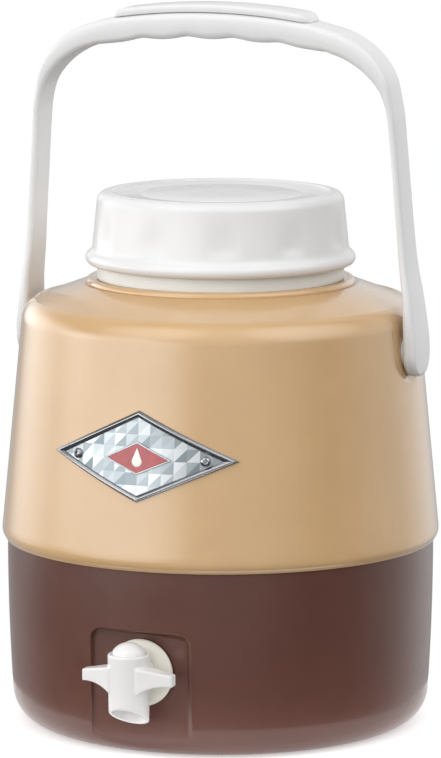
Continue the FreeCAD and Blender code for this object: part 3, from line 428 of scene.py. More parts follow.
# Tap: a stiff plastic, a touch lighter and warmer than the bail.
ACETAL = moulded_plastic("moulded acetal, white", "E9E8E7", "E4E3E1", 0.22)
# The tap's rose: a yellower batch of white.
CREAM = moulded_plastic("moulded ABS, cream", "E8E4D9", "E2DCCF", 0.25, ior=1.53)
# Neck and tank: waxy white, with the coarser skin of a blown piece.
LINER = moulded_plastic("blow-moulded polyethylene, natural white", "E6E6E1", "DDDDD6", 0.4,
                        peel_mm=2.2, peel_depth=0.01, ior=1.51)
# Pale yellow, with open cells just under a millimetre across.
FOAM = one_pattern("poured polyurethane foam", "TexVoronoi", {"Scale": 1 / (0.9 * MM)},
                   [(0.0, "C9A95F"), (0.6, "EBD79A")], {"Roughness": 0.9}, relief=0.3)
# Grey-white, with a fine matt skin.
RUBBER = one_pattern("moulded silicone rubber", "TexNoise", {"Scale": 1 / (0.35 * MM), "Detail": 3.0},
                     [(0.3, "B9BAB8"), (0.7, "CFD0CD")], {"Roughness": 0.55, "IOR": 1.41}, relief=0.02)
# The badge's rim and screws: bright, with faint polishing swirls.
CHROME = one_pattern("chromed die-cast zinc", "TexNoise",
                     {"Scale": 1 / (1.5 * MM), "Detail": 5.0, "Distortion": 1.5},
                     [(0.3, "8B8D90"), (0.7, "A5A7AA")], {"Metallic": 1.0}, gloss=(0.08, 0.2))
FACETS = facet_printed_aluminium()
# Fine uneven gloss, as drawing through a die leaves it.
STEEL = one_pattern("drawn stainless spring wire", "TexNoise", {"Scale": 1 / (0.2 * MM), "Detail": 3.0},
                    [(0.3, "9C9A96"), (0.7, "BDBBB6")], {"Metallic": 1.0}, gloss=(0.18, 0.35))
RED = enamel("fired enamel, red", "B3262C", "9C1F26")
MILK = enamel("fired enamel, white", "F4F2EE", "E9E6E0")


# ---- tan shell ----
WALL_ANGLE = math.atan(WALL_TAPER)
FILLET_START_Z = CREASE_Z - TOP_FILLET * (math.sin(CREASE_ANGLE) - math.sin(WALL_ANGLE))


def wall_radius(z, inset=0.0):
    return BAND_R - WALL_TAPER * (z - BAND_Z) - inset / math.cos(WALL_ANGLE)


FILLET_R = wall_radius(FILLET_START_Z) - TOP_FILLET * math.cos(WALL_ANGLE)
FILLET_Z = FILLET_START_Z - TOP_FILLET * math.sin(WALL_ANGLE)


def top_corner(inset, steps):
    """The shell's rounded top corner, the small step in from its crease, and the shoulder's foot."""
    corner = arc((FILLET_R, FILLET_Z), TOP_FILLET - inset, WALL_ANGLE, CREASE_ANGLE, steps)
    crease = corner[-1]
    slope = math.atan2(NECK_FOOT_Z - CREASE_Z + STEP, crease[0] - STEP - NECK_FOOT_R)
    foot = (NECK_FOOT_R - inset * math.sin(slope), NECK_FOOT_Z - inset * math.cos(slope))
    return corner, (crease[0] - STEP, crease[1] - STEP), foot


def tan_section():
    corner, step, foot = top_corner(0, 20)
    crease = corner.pop()
    rolled = [(crease[0] + 0.12, crease[1] - 0.10), (crease[0] - 0.08, crease[1] - 0.02),
              (crease[0] - 0.24, crease[1] - 0.14), (step[0] + 0.12, step[1] + 0.16),
              (step[0] - 0.05, step[1] + 0.02), (step[0] - 0.35, step[1] + 0.1)]
    inner_corner, inner_step, inner_foot = top_corner(WALL, 6)
    lip = arc((BAND_R - LIP_ROUND, BAND_Z), LIP_ROUND, -0.9, 0, 6)
    wall_low, wall_high = (BAND_R, BAND_Z + 1.5), corner[0]
    bead_end = math.pi - math.asin((COLLAR_LAND_Z - NECK_FOOT_Z) / BEAD_RADIUS)
    bead = arc((BEAD_R, NECK_FOOT_Z), BEAD_RADIUS, -0.5, bead_end, 16)
    outside = [(LIP_R - 2 * LIP_EDGE, SEAM_Z), (LIP_R, SEAM_Z + LIP_EDGE)] + lip[1:] + [wall_low]
    outside += between(wall_low, wall_high, 36) + corner + rolled
    shoulder_end = (foot[0] + 1.2, foot[1] - 0.3)
    outside += between(rolled[-1], shoulder_end, 8) + [shoulder_end]
    outside += bead + [(COLLAR_BORE, COLLAR_LAND_Z), (COLLAR_BORE, inner_foot[1])]
    inside = [inner_foot, inner_step] + inner_corner[::-1]
    lap_r, lap_z = LOWER_R + LAP_GAP, LAP_TOP_Z + LAP_ROOM
    low = (wall_radius(LAP_TOP_Z, WALL), lap_z)
    inside += between(inner_corner[0], low, 30) + [low, (lap_r, lap_z), (lap_r, SEAM_Z)]
    return outside + inside


def pocket_distance(y, z):
    """How far a point of the side lies outside the flat floor of the bail's pocket."""
    return math.hypot(y, min(0.0, z - POCKET_CENTRE_Z)) - POCKET_HALF


def near_pocket(margin_in, margin_out):
    def test(p):
        if not POCKET_ZONE_LOW <= p.z <= POCKET_ZONE_HIGH or abs(p.x) < POCKET_ZONE_X:
            return False
        return margin_in < pocket_distance(p.y, p.z) < margin_out
    return test


def true_wall(v):
    """Put a point of a split face back on the turned wall."""
    radius = math.hypot(v.co.x, v.co.y)
    inner = radius < wall_radius(v.co.z) - IN_WALL if v.co.z < FILLET_START_Z else radius < 90
    if inner or v.co.z > CREASE_Z - CREASE_KEEP:
        return
    if v.co.z <= FILLET_START_Z:
        wanted = wall_radius(v.co.z)
    else:
        wanted = FILLET_R + math.sqrt(max(0.0, TOP_FILLET ** 2 - (v.co.z - FILLET_Z) ** 2))
        if radius < wanted - 1.0:
            return
    v.co.x *= wanted / radius
    v.co.y *= wanted / radius


def sink_pocket(v):
    """Sink the wall a little inside the pocket's rolled lip; the inner skin is flat behind it."""
    side = 1 if v.co.x > 0 else -1
    away = pocket_distance(v.co.y, v.co.z)
    inner = math.hypot(v.co.x, v.co.y) < wall_radius(v.co.z) - IN_WALL and v.co.z < FILLET_START_Z
    if inner:
        flat = soft_most(POCKET_BACK_X, POCKET_BACK_X + (away + 1.5) * 1.25, 1.6)
        v.co.x = side * soft_least(side * v.co.x, flat, 1.0)
    elif v.co.z < CREASE_Z - CREASE_KEEP:
        sunk = max(0.0, min(1.0, (POCKET_LIP - away) / (2 * POCKET_LIP)))
        fade = min(1.0, (CREASE_Z - CREASE_KEEP - v.co.z) / POCKET_FADE)
        v.co.x -= side * POCKET_DEEP * fade * sunk * sunk * (3 - 2 * sunk)


def make_tan_shell():
    bm = spun(tan_section())
    bmesh.ops.remove_doubles(bm, verts=bm.verts, dist=0.002)
    finer(bm, near_pocket(-25, 12), 1)
    finer(bm, near_pocket(-3, 3), 2)
    zone = near_pocket(-30, 14)
    for v in bm.verts:
        if zone(v.co):
            true_wall(v)
            sink_pocket(v)
    piece = as_object("tan_cover", bm)
    cutter, bosses = bmesh.new(), bmesh.new()
    for side in (1, -1):
        rod(cutter, BUSH_R, (side * BUSH_START_X, 0, PIVOT_Z), (side * BUSH_TOOL_X, 0, PIVOT_Z), 64)
        boss = spun([(BUSH_R, -BOSS_LONG), (BOSS_R, -BOSS_LONG), (BOSS_R, -BOSS_EDGE),
                     (BOSS_R - BOSS_EDGE, 0), (BUSH_R, 0)], 72)
        place = Matrix.Translation((side * BOSS_FACE_X, 0, PIVOT_Z))
        turn = Matrix.Rotation(side * math.pi / 2, 4, "Y")
        bmesh.ops.transform(boss, matrix=place @ turn, verts=boss.verts)
        mesh = bpy.data.meshes.new("boss")
        boss.to_mesh(mesh)
        bosses.from_mesh(mesh)
    joined(carved(piece, cutter), bosses)
    fitted(piece, [TAN], "jug_body", "upper_shell")


# ---- brown shell ----
def circle_through(a, b, c):
    """Centre and radius of the circle through three points of a section."""
    ax, az, bx, bz, cx, cz = *a, *b, *c
    d = 2 * (ax * (bz - cz) + bx * (cz - az) + cx * (az - bz))
    sa, sb, sc = ax * ax + az * az, bx * bx + bz * bz, cx * cx + cz * cz
    centre = ((sa * (bz - cz) + sb * (cz - az) + sc * (az - bz)) / d,
              (sa * (cx - bx) + sb * (ax - cx) + sc * (bx - ax)) / d)
    return centre, math.hypot(a[0] - centre[0], a[1] - centre[1])


BELLY_CENTRE, BELLY_RADIUS = circle_through((FOOT_R + BASE_FILLET, BASE_FILLET), (BELLY_R, BELLY_Z),
                                            (LOWER_R, LOWER_STRAIGHT_Z))


def brown_radius(z):
    """Outside radius of the brown shell at a height."""
    if z < BASE_FILLET:
        return FOOT_R + math.sqrt(max(0.0, BASE_FILLET ** 2 - (BASE_FILLET - z) ** 2))
    if z < LOWER_STRAIGHT_Z:
        return BELLY_CENTRE[0] + math.sqrt(BELLY_RADIUS ** 2 - (z - BELLY_CENTRE[1]) ** 2)
    return LOWER_R


def brown_section():
    rows = 32
    heights = [BASE_FILLET + (LOWER_STRAIGHT_Z - BASE_FILLET) * row / rows for row in range(1, rows + 1)]
    fillet = arc((FOOT_R, BASE_FILLET), BASE_FILLET, -math.pi / 2, 0, 16)
    soft = 0.3                                # the groove's edges are eased this much
    groove = [(GROOVE_IN - 0.5, 0), (GROOVE_IN, soft), (GROOVE_IN + soft, GROOVE_DEEP),
              (GROOVE_OUT - soft, GROOVE_DEEP), (GROOVE_OUT, soft), (GROOVE_OUT + 0.5, 0)]
    outside = [(0, 0), (30, 0), (52, 0)] + groove + between(groove[-1], fillet[0], 3) + fillet
    outside += [(brown_radius(z), z) for z in heights] + [(LOWER_R, SEAM_Z - 2), (LOWER_R, LAP_TOP_Z)]
    inside = [(LOWER_R - WALL, LAP_TOP_Z)]
    inside += [(brown_radius(z) - WALL, z) for z in reversed(heights[::4])]
    inside += arc((FOOT_R, BASE_FILLET), BASE_FILLET - WALL, 0, -math.pi / 2, 8) + [(0, WALL)]
    return outside + inside


def niche_distance(x, z):
    """How far a point lies outside the niche's round-cornered outline, seen from the front."""
    across, up = abs(x) - (NICHE_HALF - NICHE_CORNER), z - (NICHE_TOP_Z - NICHE_CORNER)
    return math.hypot(max(across, 0), max(up, 0)) + min(max(across, up), 0) - NICHE_CORNER


def near_niche(margin_in, margin_out):
    def test(p):
        return p.y < NICHE_ZONE_Y and p.z < NICHE_ZONE_Z and margin_in < niche_distance(p.x, p.z) < margin_out
    return test


def sink_niche(v):
    """Push a point of the front back to the niche's floor or its side."""
    inner = math.hypot(v.co.x, v.co.y) < brown_radius(v.co.z) - IN_WALL
    floor = NICHE_FLOOR - (WALL if inner else 0)
    away = niche_distance(v.co.x, v.co.z) - (WALL if inner else 0)
    ease = 0.0 if inner else max(0.0, min(1.0, v.co.x / (NICHE_HALF - NICHE_CORNER)))
    draft = NICHE_DRAFT + (NICHE_SOFT_DRAFT - NICHE_DRAFT) * ease
    side_front = soft_most(floor, -v.co.y + away * draft, 1.4)
    v.co.y = -soft_least(-v.co.y, side_front, 1.6)


def true_front(v):
    """Put a point of a split face back on the turned brown wall."""
    radius, wanted = math.hypot(v.co.x, v.co.y), brown_radius(v.co.z)
    if abs(radius - wanted) < 1.0 and v.co.z > 0.05:
        v.co.x *= wanted / radius
        v.co.y *= wanted / radius


def make_brown_shell():
    bm = spun(brown_section())
    bmesh.ops.remove_doubles(bm, verts=bm.verts, dist=0.002)
    finer(bm, near_niche(-60, 7), 1)
    finer(bm, near_niche(-5.0, 2.4), 2)
    finer(bm, near_niche(-1.8, 1.2), 1)
    zone = near_niche(-70, 9)
    for v in bm.verts:
        if zone(v.co):
            true_front(v)
            sink_niche(v)
    piece = as_object("brown_cover", bm, merge=0.001)
    cutter = bmesh.new()
    rod(cutter, SHANK_HOLE_R, (0, -100, TAP_Z), (0, -130, TAP_Z), 64)
    rod(cutter, PLUG_R, (0, PLUG_Y, -5), (0, PLUG_Y, 6), 64)
    carved(piece, cutter)
    fitted(piece, [BROWN], "jug_body", "lower_shell")


# ---- neck and lid ----
def add_thread(bm, root, crest, low_z):
    """Two-start right-hand ridges with round crests, outside a tube or inside a bore."""
    outwards = 1 if crest > root else -1
    tip = [(root + outwards * (THREAD_HEIGHT * math.cos(a) - 0.3), low_z + 0.5 + 1.1 * math.sin(a))
           for a in (-math.pi / 2, -0.9, -0.4, 0, 0.4, 0.9, math.pi / 2)]
    steps = 90
    for start in range(THREAD_STARTS):
        turn = Matrix.Rotation(THREAD_FIRST + math.tau * start / THREAD_STARTS, 3, "Z")
        corners = [bm.verts.new(turn @ Vector((r, 0, z))) for r, z in tip]
        face = bm.faces.new(corners)
        bmesh.ops.spin(bm, geom=[face], cent=(0, 0, 0), axis=(0, 0, 1), angle=math.tau * THREAD_TURNS,
                       dvec=(0, 0, THREAD_LEAD * THREAD_TURNS / steps), steps=steps)


def make_neck():
    low, top, r = neck_low.z, neck_high.z, 0.9
    ring = [(NECK_RING_R - r, COLLAR_LAND_Z), (NECK_RING_R, COLLAR_LAND_Z + r),
            (NECK_RING_R, NECK_RING_TOP - r), (NECK_RING_R - r * 0.3, NECK_RING_TOP - r * 0.3),
            (NECK_RING_R - r, NECK_RING_TOP)]
    mouth = arc((NECK_R - MOUTH_ROUND, top - MOUTH_ROUND), MOUTH_ROUND, 0, math.pi / 2, 4)
    mouth += arc((NECK_BORE + MOUTH_ROUND, top - MOUTH_ROUND), MOUTH_ROUND, math.pi / 2, math.pi, 4)
    section = [(NECK_BORE, low), (NECK_R, low), (NECK_R, COLLAR_LAND_Z)] + ring
    section += [(NECK_R + 0.6, NECK_RING_TOP), (NECK_R, NECK_RING_TOP + 0.6)] + mouth
    bm = spun(section, 180)
    bmesh.ops.remove_doubles(bm, verts=bm.verts, dist=0.002)
    add_thread(bm, NECK_R, NECK_R + THREAD_HEIGHT, NECK_THREAD_Z)
    piece = as_object("neck_tube", bm, merge=0.0005)
    fitted(piece, [LINER], "jug_body", "reservoir_neck")


def lid_section():
    top = LID_TOP_Z - 0.2
    floor = top - LID_SUNK
    bead = arc((LID_BEAD_R - LID_BEAD_ROUND, LID_SKIRT_Z + LID_BEAD_ROUND), LID_BEAD_ROUND, -1.35, 1.25, 14)
    side_low = (LID_FOOT_R - 0.1, LID_FOOT_Z + 0.6)
    side_high = (LID_SHOULDER_R + 0.15, LID_SHOULDER_Z - 1.2)
    crown = arc((LID_SHOULDER_R - LID_CROWN, top - LID_CROWN), LID_CROWN, 0.12, math.pi / 2, 10)
    ridge = arc((LID_RIDGE_R, top - 0.65), LID_RIDGE_ROUND, 0.75, math.pi - 0.75, 6)
    section = [(LID_BORE, LID_SKIRT_Z + 0.5), (LID_BORE + 0.6, LID_SKIRT_Z)] + bead
    section += [(LID_FOOT_R + 0.35, LID_FOOT_Z - 0.9), side_low] + between(side_low, side_high, 16)
    section += [side_high]
    section += crown + ridge + [(LID_RIDGE_R - 1.3, floor + 0.25), (LID_RIDGE_R - 2.2, floor)]
    section += [(LID_DISC_R + off, floor - deep) for off, deep in
                ((1.0, 0), (0.6, 0.15), (0, 0.55), (-0.6, 0.15), (-1.0, 0))]
    section += [(20, floor + 0.15), (0, floor + 0.2)]
    section += [(0, LID_ROOF_Z), (LID_WELD_R, LID_ROOF_Z), (LID_WELD_R, LID_WELD_Z),
                (LID_BORE - 1.5, LID_WELD_Z), (LID_BORE, LID_WELD_Z - 5)]
    return section


def flute(v):
    """Dish the lid's side into shallow finger flutes that die away at both ends."""
    radius, angle = math.hypot(v.co.x, v.co.y), math.atan2(v.co.y, v.co.x)
    low, high = LID_FOOT_Z + 0.3, LID_SHOULDER_Z - 0.5
    if not (low < v.co.z < high and radius > LID_BORE + 0.5):
        return
    pitch = math.tau / FLUTES
    off = (angle - FLUTE_FIRST + pitch / 2) % pitch - pitch / 2
    reach = abs(off) / FLUTE_HALF
    ends = max(0.0, min(1.0, (high - v.co.z) / FLUTE_TOP_FADE, (v.co.z - low) / FLUTE_FOOT_FADE))
    if reach < 1:
        depth = FLUTE_DEEP * math.cos(reach * math.pi / 2) ** 2 * ends * ends * (3 - 2 * ends)
        v.co.x *= (radius - depth) / radius
        v.co.y *= (radius - depth) / radius


def make_lid():
    bm = spun(lid_section(), 360)
    bmesh.ops.remove_doubles(bm, verts=bm.verts, dist=0.002)
    for v in bm.verts:
        flute(v)
    add_thread(bm, LID_BORE, LID_BORE - THREAD_HEIGHT, LID_THREAD_Z)
    piece = as_object("lid_cover", bm, merge=0.0005)
    fitted(piece, [WHITE], "lid", "lid_shell")


# ---- bail ----
# Outside and inside of the right arm seen from the front, pair by pair from the paddle to
# the grip.
ARM_OUTSIDE = [(122.7, 211.5), (122.5, 226), (119.9, 248), (116.6, 270), (113.6, 305), (110.8, 341),
               (109.2, 356), (105, 374), (95, 387.5), (80, 396.8), (60, 402.3)]
ARM_INSIDE = [(115, 211.5), (115, 226), (114.4, 248), (112, 270), (109.3, 305), (106.6, 341),
              (105.4, 352), (101.5, 364.5), (93, 374.8), (82, 382.2), (70, 386.8)]


def rounded_ring(outside, inside, half_width, corner, inner_corner=None):
    """A round-cornered oblong ring between an outside and an inside point of the bail."""
    inner_corner = inner_corner or corner
    middle, reach = (outside + inside) / 2, (outside - inside) / 2
    half_thick, along = reach.length, reach.normalized()
    most = min(half_thick, half_width) * 0.96
    ring = []
    for quarter, (a, b) in enumerate(((1, 1), (-1, 1), (-1, -1), (1, -1))):
        r = min(corner if a > 0 else inner_corner, most)
        centre = middle + along * a * (half_thick - r) + Vector((0, b * (half_width - r), 0))
        for step in range(7):
            turn = math.radians(90 * quarter + 15 * step)
            ring.append(centre + r * (along * math.cos(turn) + Vector((0, math.sin(turn), 0))))
    return ring


def grip_under(x):
    """Underside of the grip: an arch with finger lobes hanging from it."""
    start = LOBES * LOBE_PITCH / 2
    within = ((x + start) % LOBE_PITCH - LOBE_PITCH / 2) / (LOBE_PITCH / 2)
    lobe = soft_most(LOBE_DEPTH * (1 - within ** 2), LOBE_DEPTH * 0.3, LOBE_DEPTH * 0.5)
    if x > start - LOBE_PITCH / 2:
        lobe = LOBE_DEPTH * (1 - 0.2 * within ** 2)
    return LOBE_ARCH_Z - LOBE_ARCH_FALL * (x / GRIP_END_X) ** 2 - lobe


def bail_rings():
    foot = PIVOT_Z - PADDLE_R
    edge = BAIL_EDGE
    rings = []
    for step in range(1, 15):                 # round end of the paddle
        angle = math.pi / 2 * step / 14
        z = PIVOT_Z - PADDLE_R * math.cos(angle)
        inset = edge - math.sqrt(max(0.0, edge ** 2 - max(0.0, edge - (z - foot)) ** 2))
        rings.append(rounded_ring(Vector((PADDLE_OUT - inset, 0, z)), Vector((PADDLE_IN + inset, 0, z)),
                                  PADDLE_R * math.sin(angle), edge))
    outside = smooth_line([Vector((x, 0, z)) for x, z in ARM_OUTSIDE[1:]], 8)
    inside = smooth_line([Vector((x, 0, z)) for x, z in ARM_INSIDE[1:]], 8)
    for out, within in zip(outside, inside):
        height = (out.z + within.z) / 2 - PIVOT_Z
        narrow = min(1.0, max(0.0, (height - NARROW_FROM) / NARROW_OVER))
        narrow = narrow * narrow * (3 - 2 * narrow)
        widen = min(1.0, max(0.0, (height - WIDE_FROM) / WIDE_OVER))
        half = PADDLE_R + (ARM_HALF - PADDLE_R) * narrow + (GRIP_HALF_WIDTH - ARM_HALF) * widen
        rings.append(rounded_ring(out, within, half, edge + (GRIP_EDGE - edge) * widen))
    lobe_end = LOBES * LOBE_PITCH / 2
    for step in range(1, 71):                 # the grip, to its middle
        share = 1 - step / 70
        x_out, x_in = GRIP_END_X * share, lobe_end * share
        out = Vector((x_out, 0, GRIP_TOP_Z - GRIP_FALL * share ** 2))
        rings.append(rounded_ring(out, Vector((x_in, 0, grip_under(x_in))), GRIP_HALF_WIDTH, GRIP_EDGE))
    return rings


def lean(bm):
    """Tip the bail's parts forward about the pegs, as it stands at rest."""
    bmesh.ops.rotate(bm, cent=(0, 0, PIVOT_Z), matrix=Matrix.Rotation(LEAN, 3, "X"), verts=bm.verts)


def make_bail():
    bm = bmesh.new()
    lofted(bm, bail_rings(), close=(True, False))
    bmesh.ops.mirror(bm, geom=bm.verts[:] + bm.edges[:] + bm.faces[:], axis="X", merge_dist=0.01)
    for side in (1, -1):
        rod(bm, PEG_R, (side * PEG_END_X, 0, PIVOT_Z), (side * (PADDLE_IN + 2), 0, PIVOT_Z), 40)
    lean(bm)
    piece = as_object("bail_arms", bm)
    fitted(piece, [WHITE], "handle", "handle_bail")


def make_grip_cap():
    """Strip snapped over the grip: it follows the arch, and its ends die down to the bail."""
    bm = bmesh.new()
    rings, steps = [], 64
    for step in range(steps + 1):
        x = CAP_HALF * math.cos(math.pi * step / steps)
        base = GRIP_TOP_Z + CAP_GAP - GRIP_FALL * (x / GRIP_END_X) ** 2
        end = max(0.0, abs(x) - (CAP_HALF - CAP_END)) / CAP_END
        thick = max(0.25, CAP_THICK * math.sqrt(max(0.0, 1 - end ** 2.2)))
        half = CAP_HALF_WIDTH - 3.0 * end ** 3
        rings.append(rounded_ring(Vector((x, 0, base + thick)), Vector((x, 0, base)), half, CAP_EDGE, 0.3))
    lofted(bm, rings)
    lean(bm)
    piece = as_object("grip_strip", bm)
    fitted(piece, [WHITE], "handle", "handle_grip_cap")


# ---- tap ----
def add_wing(bm, side):
    """A finger wing: swept back a little, slim at its tip and hollowed underneath."""
    low, high = (WING_ROOT_X, WING_ROOT_LOW), (WING_TIP_X, WING_TIP_LOW)
    (cx, cz), radius = circle_through(low, (WING_ARCH_X, WING_ARCH_Z), high)
    start, end = math.atan2(low[1] - cz, low[0] - cx), math.atan2(high[1] - cz, high[0] - cx)
    under = arc((cx, cz), radius, start, end, 14)
    rings = []
    for x, z in under:
        share = (x - WING_ROOT_X) / (WING_TIP_X - WING_ROOT_X)
        top = WING_ROOT_HIGH + (WING_TIP_HIGH - WING_ROOT_HIGH) * share
        sweep = WING_SWEEP * (x - WING_FACE_X) / (WING_TIP_X - WING_FACE_X)
        ahead = TAP_FRONT + (WING_ROOT_FRONT if x < WING_FACE_X else WING_FRONT - sweep)
        behind = TAP_FRONT - WING_BACK + share
        rings.append([(side * x, -ahead, z), (side * x, -ahead, top), (side * x, -behind, top),
                      (side * x, -behind, z)])
    lofted(bm, rings)


def make_tap_body():
    bm = bmesh.new()
    y = -TAP_FRONT
    rod(bm, BARREL_LOW_R, (0, y, BARREL_LOW_Z), (0, y, BARREL_TOP_Z), 96, BARREL_TOP_R)
    add_wing(bm, 1)
    add_wing(bm, -1)
    rod(bm, TAP_NECK_R, (0, -NICHE_FLOOR - 1.2, TAP_Z), (0, y, TAP_Z), 72)
    piece = moulded_together(as_object("tap_barrel", bm), 0.5, 1)
    button_r, above = BUTTON_R + BUTTON_ROOM, BARREL_TOP_Z + 5
    bores = spun([(0, 0), (SPOUT_BORE, 0), (SPOUT_BORE, SEAT_Z), (SEAT_BORE, SEAT_Z), (SEAT_BORE, SEAT_TOP_Z),
                  (CHAMBER_R, SEAT_TOP_Z), (CHAMBER_R, CHAMBER_TOP_Z), (STEM_BORE, CHAMBER_TOP_Z),
                  (STEM_BORE, WEB_TOP_Z), (button_r, WEB_TOP_Z), (button_r, above), (0, above)], 96)
    bmesh.ops.translate(bores, vec=(0, y, 0), verts=bores.verts)
    carved(piece, bores)
    water_way, slant = bmesh.new(), bmesh.new()
    rod(water_way, SHANK_BORE, (0, -100, TAP_Z), (0, y + CHAMBER_R - 2, TAP_Z), 48)
    carved(piece, water_way)
    back = Vector((0, y + BARREL_TOP_R, BARREL_LOW_Z))
    slab = Matrix.Translation(back) @ Matrix.Rotation(-SPOUT_CUT, 4, "X") @ Matrix.Translation((0, -30, -20))
    bmesh.ops.create_cube(slant, size=1.0, matrix=slab @ Matrix.Diagonal((60, 60, 40, 1)))
    carved(piece, slant)
    moulded_together(piece, 0.4, 3)
    fitted(piece, [ACETAL], "jug_body", "tap_body", crisp=60)


def make_tap_rose():
    start, bore, top_r, top = -rose_high.y, SHANK_R + 1.3, SHANK_R + 2.6, ROSE_DOME - 0.1
    edge_r = ROSE_R - ROSE_EDGE
    (cx, cz), radius = circle_through((edge_r, ROSE_RIM), ROSE_MIDDLE, (top_r, top))
    dome = arc((cx, cz), radius, math.atan2(ROSE_RIM - cz, edge_r - cx), math.atan2(top - cz, top_r - cx), 12)
    section = [(bore, 0), (edge_r, 0), (ROSE_R, ROSE_EDGE), (ROSE_R, ROSE_RIM - 0.5)] + dome + [(bore, top)]
    bm = spun(section, 120)
    bmesh.ops.remove_doubles(bm, verts=bm.verts, dist=0.002)
    bmesh.ops.rotate(bm, cent=(0, 0, 0), matrix=Matrix.Rotation(math.pi / 2, 3, "X"), verts=bm.verts)
    bmesh.ops.translate(bm, vec=(0, -start, TAP_Z), verts=bm.verts)
    piece = as_object("tap_rose", bm)
    fitted(piece, [CREAM], "jug_body", "tap_flange")


def make_button():
    rise = button_high.z - BUTTON_RIM_Z
    dome_r = (BUTTON_R ** 2 + rise ** 2) / (2 * rise)
    centre = (0, button_high.z - dome_r)
    edge = math.atan2(BUTTON_RIM_Z - centre[1], BUTTON_R)
    dome = arc(centre, dome_r, edge + 0.05, math.pi / 2, 12)
    low, roof = button_low.z + SKIRT_SHORT, button_high.z - BUTTON_ROOF
    section = [(BUTTON_R - SKIRT_EDGE, low), (BUTTON_R, low + SKIRT_EDGE), (BUTTON_R, BUTTON_RIM_Z - 0.6),
               (BUTTON_R - 0.15, BUTTON_RIM_Z - 0.1)] + dome
    section += [(0, roof), (SOCKET_R, roof), (BUTTON_BORE, BUTTON_RIM_Z), (BUTTON_BORE, low)]
    bm = spun(section, 96)
    bmesh.ops.translate(bm, vec=(0, -TAP_FRONT, 0), verts=bm.verts)
    piece = as_object("thumb_button", bm)
    fitted(piece, [ACETAL], "tap_plunger", "tap_button")


# ---- badge ----
# The emblem is a smaller copy of the badge about the height of the side points.
BADGE_MID_Z = (node_box("badge_emblem")[0].z - badge_low.z * EMBLEM_SCALE) / (1 - EMBLEM_SCALE)
HALF_X = badge_high.x


def on_wall(x, z, lift):
    """The point lift above the tan wall that lies at x and z seen from the front."""
    r = wall_radius(z)
    front = math.sqrt(r * r - x * x)
    out = Vector((x / r * math.cos(WALL_ANGLE), -front / r * math.cos(WALL_ANGLE), math.sin(WALL_ANGLE)))
    return Vector((x, -front, z)) + out * lift


def lozenge(margin, scale=1.0):
    """The badge's diamond, shrunk by a margin square to its sides: right, top, left, bottom."""
    half_x = HALF_X * scale
    up, down = (badge_high.z - BADGE_MID_Z) * scale, (BADGE_MID_Z - badge_low.z) * scale
    less_up = margin / math.cos(math.atan2(up, half_x))
    less_down = margin / math.cos(math.atan2(down, half_x))
    less_x = margin / math.sin(math.atan2((up + down) / 2, half_x))
    return [(half_x - less_x, BADGE_MID_Z), (0, BADGE_MID_Z + up - less_up),
            (less_x - half_x, BADGE_MID_Z), (0, BADGE_MID_Z - down + less_down)]


def diamond_ring(margin, lift, per_side, scale=1.0):
    """A diamond outline with per_side points a side, laid on the wall at a lift."""
    corners = lozenge(margin, scale)
    ring = []
    for start, end in zip(corners, corners[1:] + corners[:1]):
        ring += [start] + between(start, end, per_side)
    return [on_wall(x, z, lift) for x, z in ring]


def make_badge_frame():
    """Roof-shaped bezel: a steep polished outer slope, a narrow flat and an inner slope."""
    profile = [(0.0, BADGE_GAP), (0.0, 0.7), (0.15, 0.9), (1.15, FRAME_THICK - 0.1), (1.35, FRAME_THICK),
               (1.75, FRAME_THICK), (1.95, FRAME_THICK - 0.1), (BADGE_RIM - 0.1, 1.1), (BADGE_RIM, 0.95),
               (BADGE_RIM, BADGE_GAP)]
    bm = bmesh.new()
    rings = [diamond_ring(margin, lift, PER_SIDE) for margin, lift in profile]
    lofted(bm, rings + [rings[0]], close=(False, False))
    piece = as_object("badge_bezel", bm)
    fitted(piece, [CHROME], "jug_body", "badge_frame", crisp=25)


def make_badge_plate():
    """Thin printed plate, bent to the wall."""
    bm = bmesh.new()
    margins = [BADGE_RIM + BADGE_GAP + step * 2.0 for step in range(9)]
    back = [diamond_ring(m, BADGE_GAP, PER_SIDE) for m in reversed(margins)]
    lofted(bm, back + [diamond_ring(m, PLATE_THICK, PER_SIDE) for m in margins])
    piece = as_object("badge_face", bm)
    fitted(piece, [FACETS], "jug_body", "badge_plate", crisp=30)


def drop_outline(points):
    """A plain water drop: a round bottom drawn up to a point."""
    centre = BADGE_MID_Z - DROP_LOW
    tip = centre + DROP_TALL
    tangent = math.asin(DROP_R / DROP_TALL)
    round_part = arc((0, centre), DROP_R, tangent, -math.pi - tangent, points)
    return [(0, tip)] + round_part


def make_emblem():
    """Small red enamel lozenge with a white drop in it and a thin metal edge."""
    base = PLATE_THICK + BADGE_GAP
    top = base + EMBLEM_THICK - 0.15
    bm = bmesh.new()
    steps = [(5.0, base), (3.0, base), (1.5, base), (0.0, base), (0.0, top - 0.1), (0.15, top), (0.75, top),
             (0.9, top - 0.25), (1.5, top - 0.25), (3.0, top - 0.25), (5.0, top - 0.25)]
    edge, red, white = 0, 1, 2
    lofted(bm, [diamond_ring(margin, lift, 8, EMBLEM_SCALE) for margin, lift in steps],
           tones=[edge] * 7 + [red] * 3)
    outline = drop_outline(28)
    centre = BADGE_MID_Z - DROP_LOW
    sizes = [(1.0, top - 0.3), (1.0, top - 0.08), (0.9, top), (0.5, top)]
    lofted(bm, [[on_wall(x * share, centre + (z - centre) * share, lift) for x, z in outline]
                for share, lift in sizes], tones=[white] * 3)
    piece = as_object("badge_emblem_plate", bm, merge=0.0005)
    fitted(piece, [CHROME, RED, MILK], "jug_body", "badge_emblem", crisp=25)


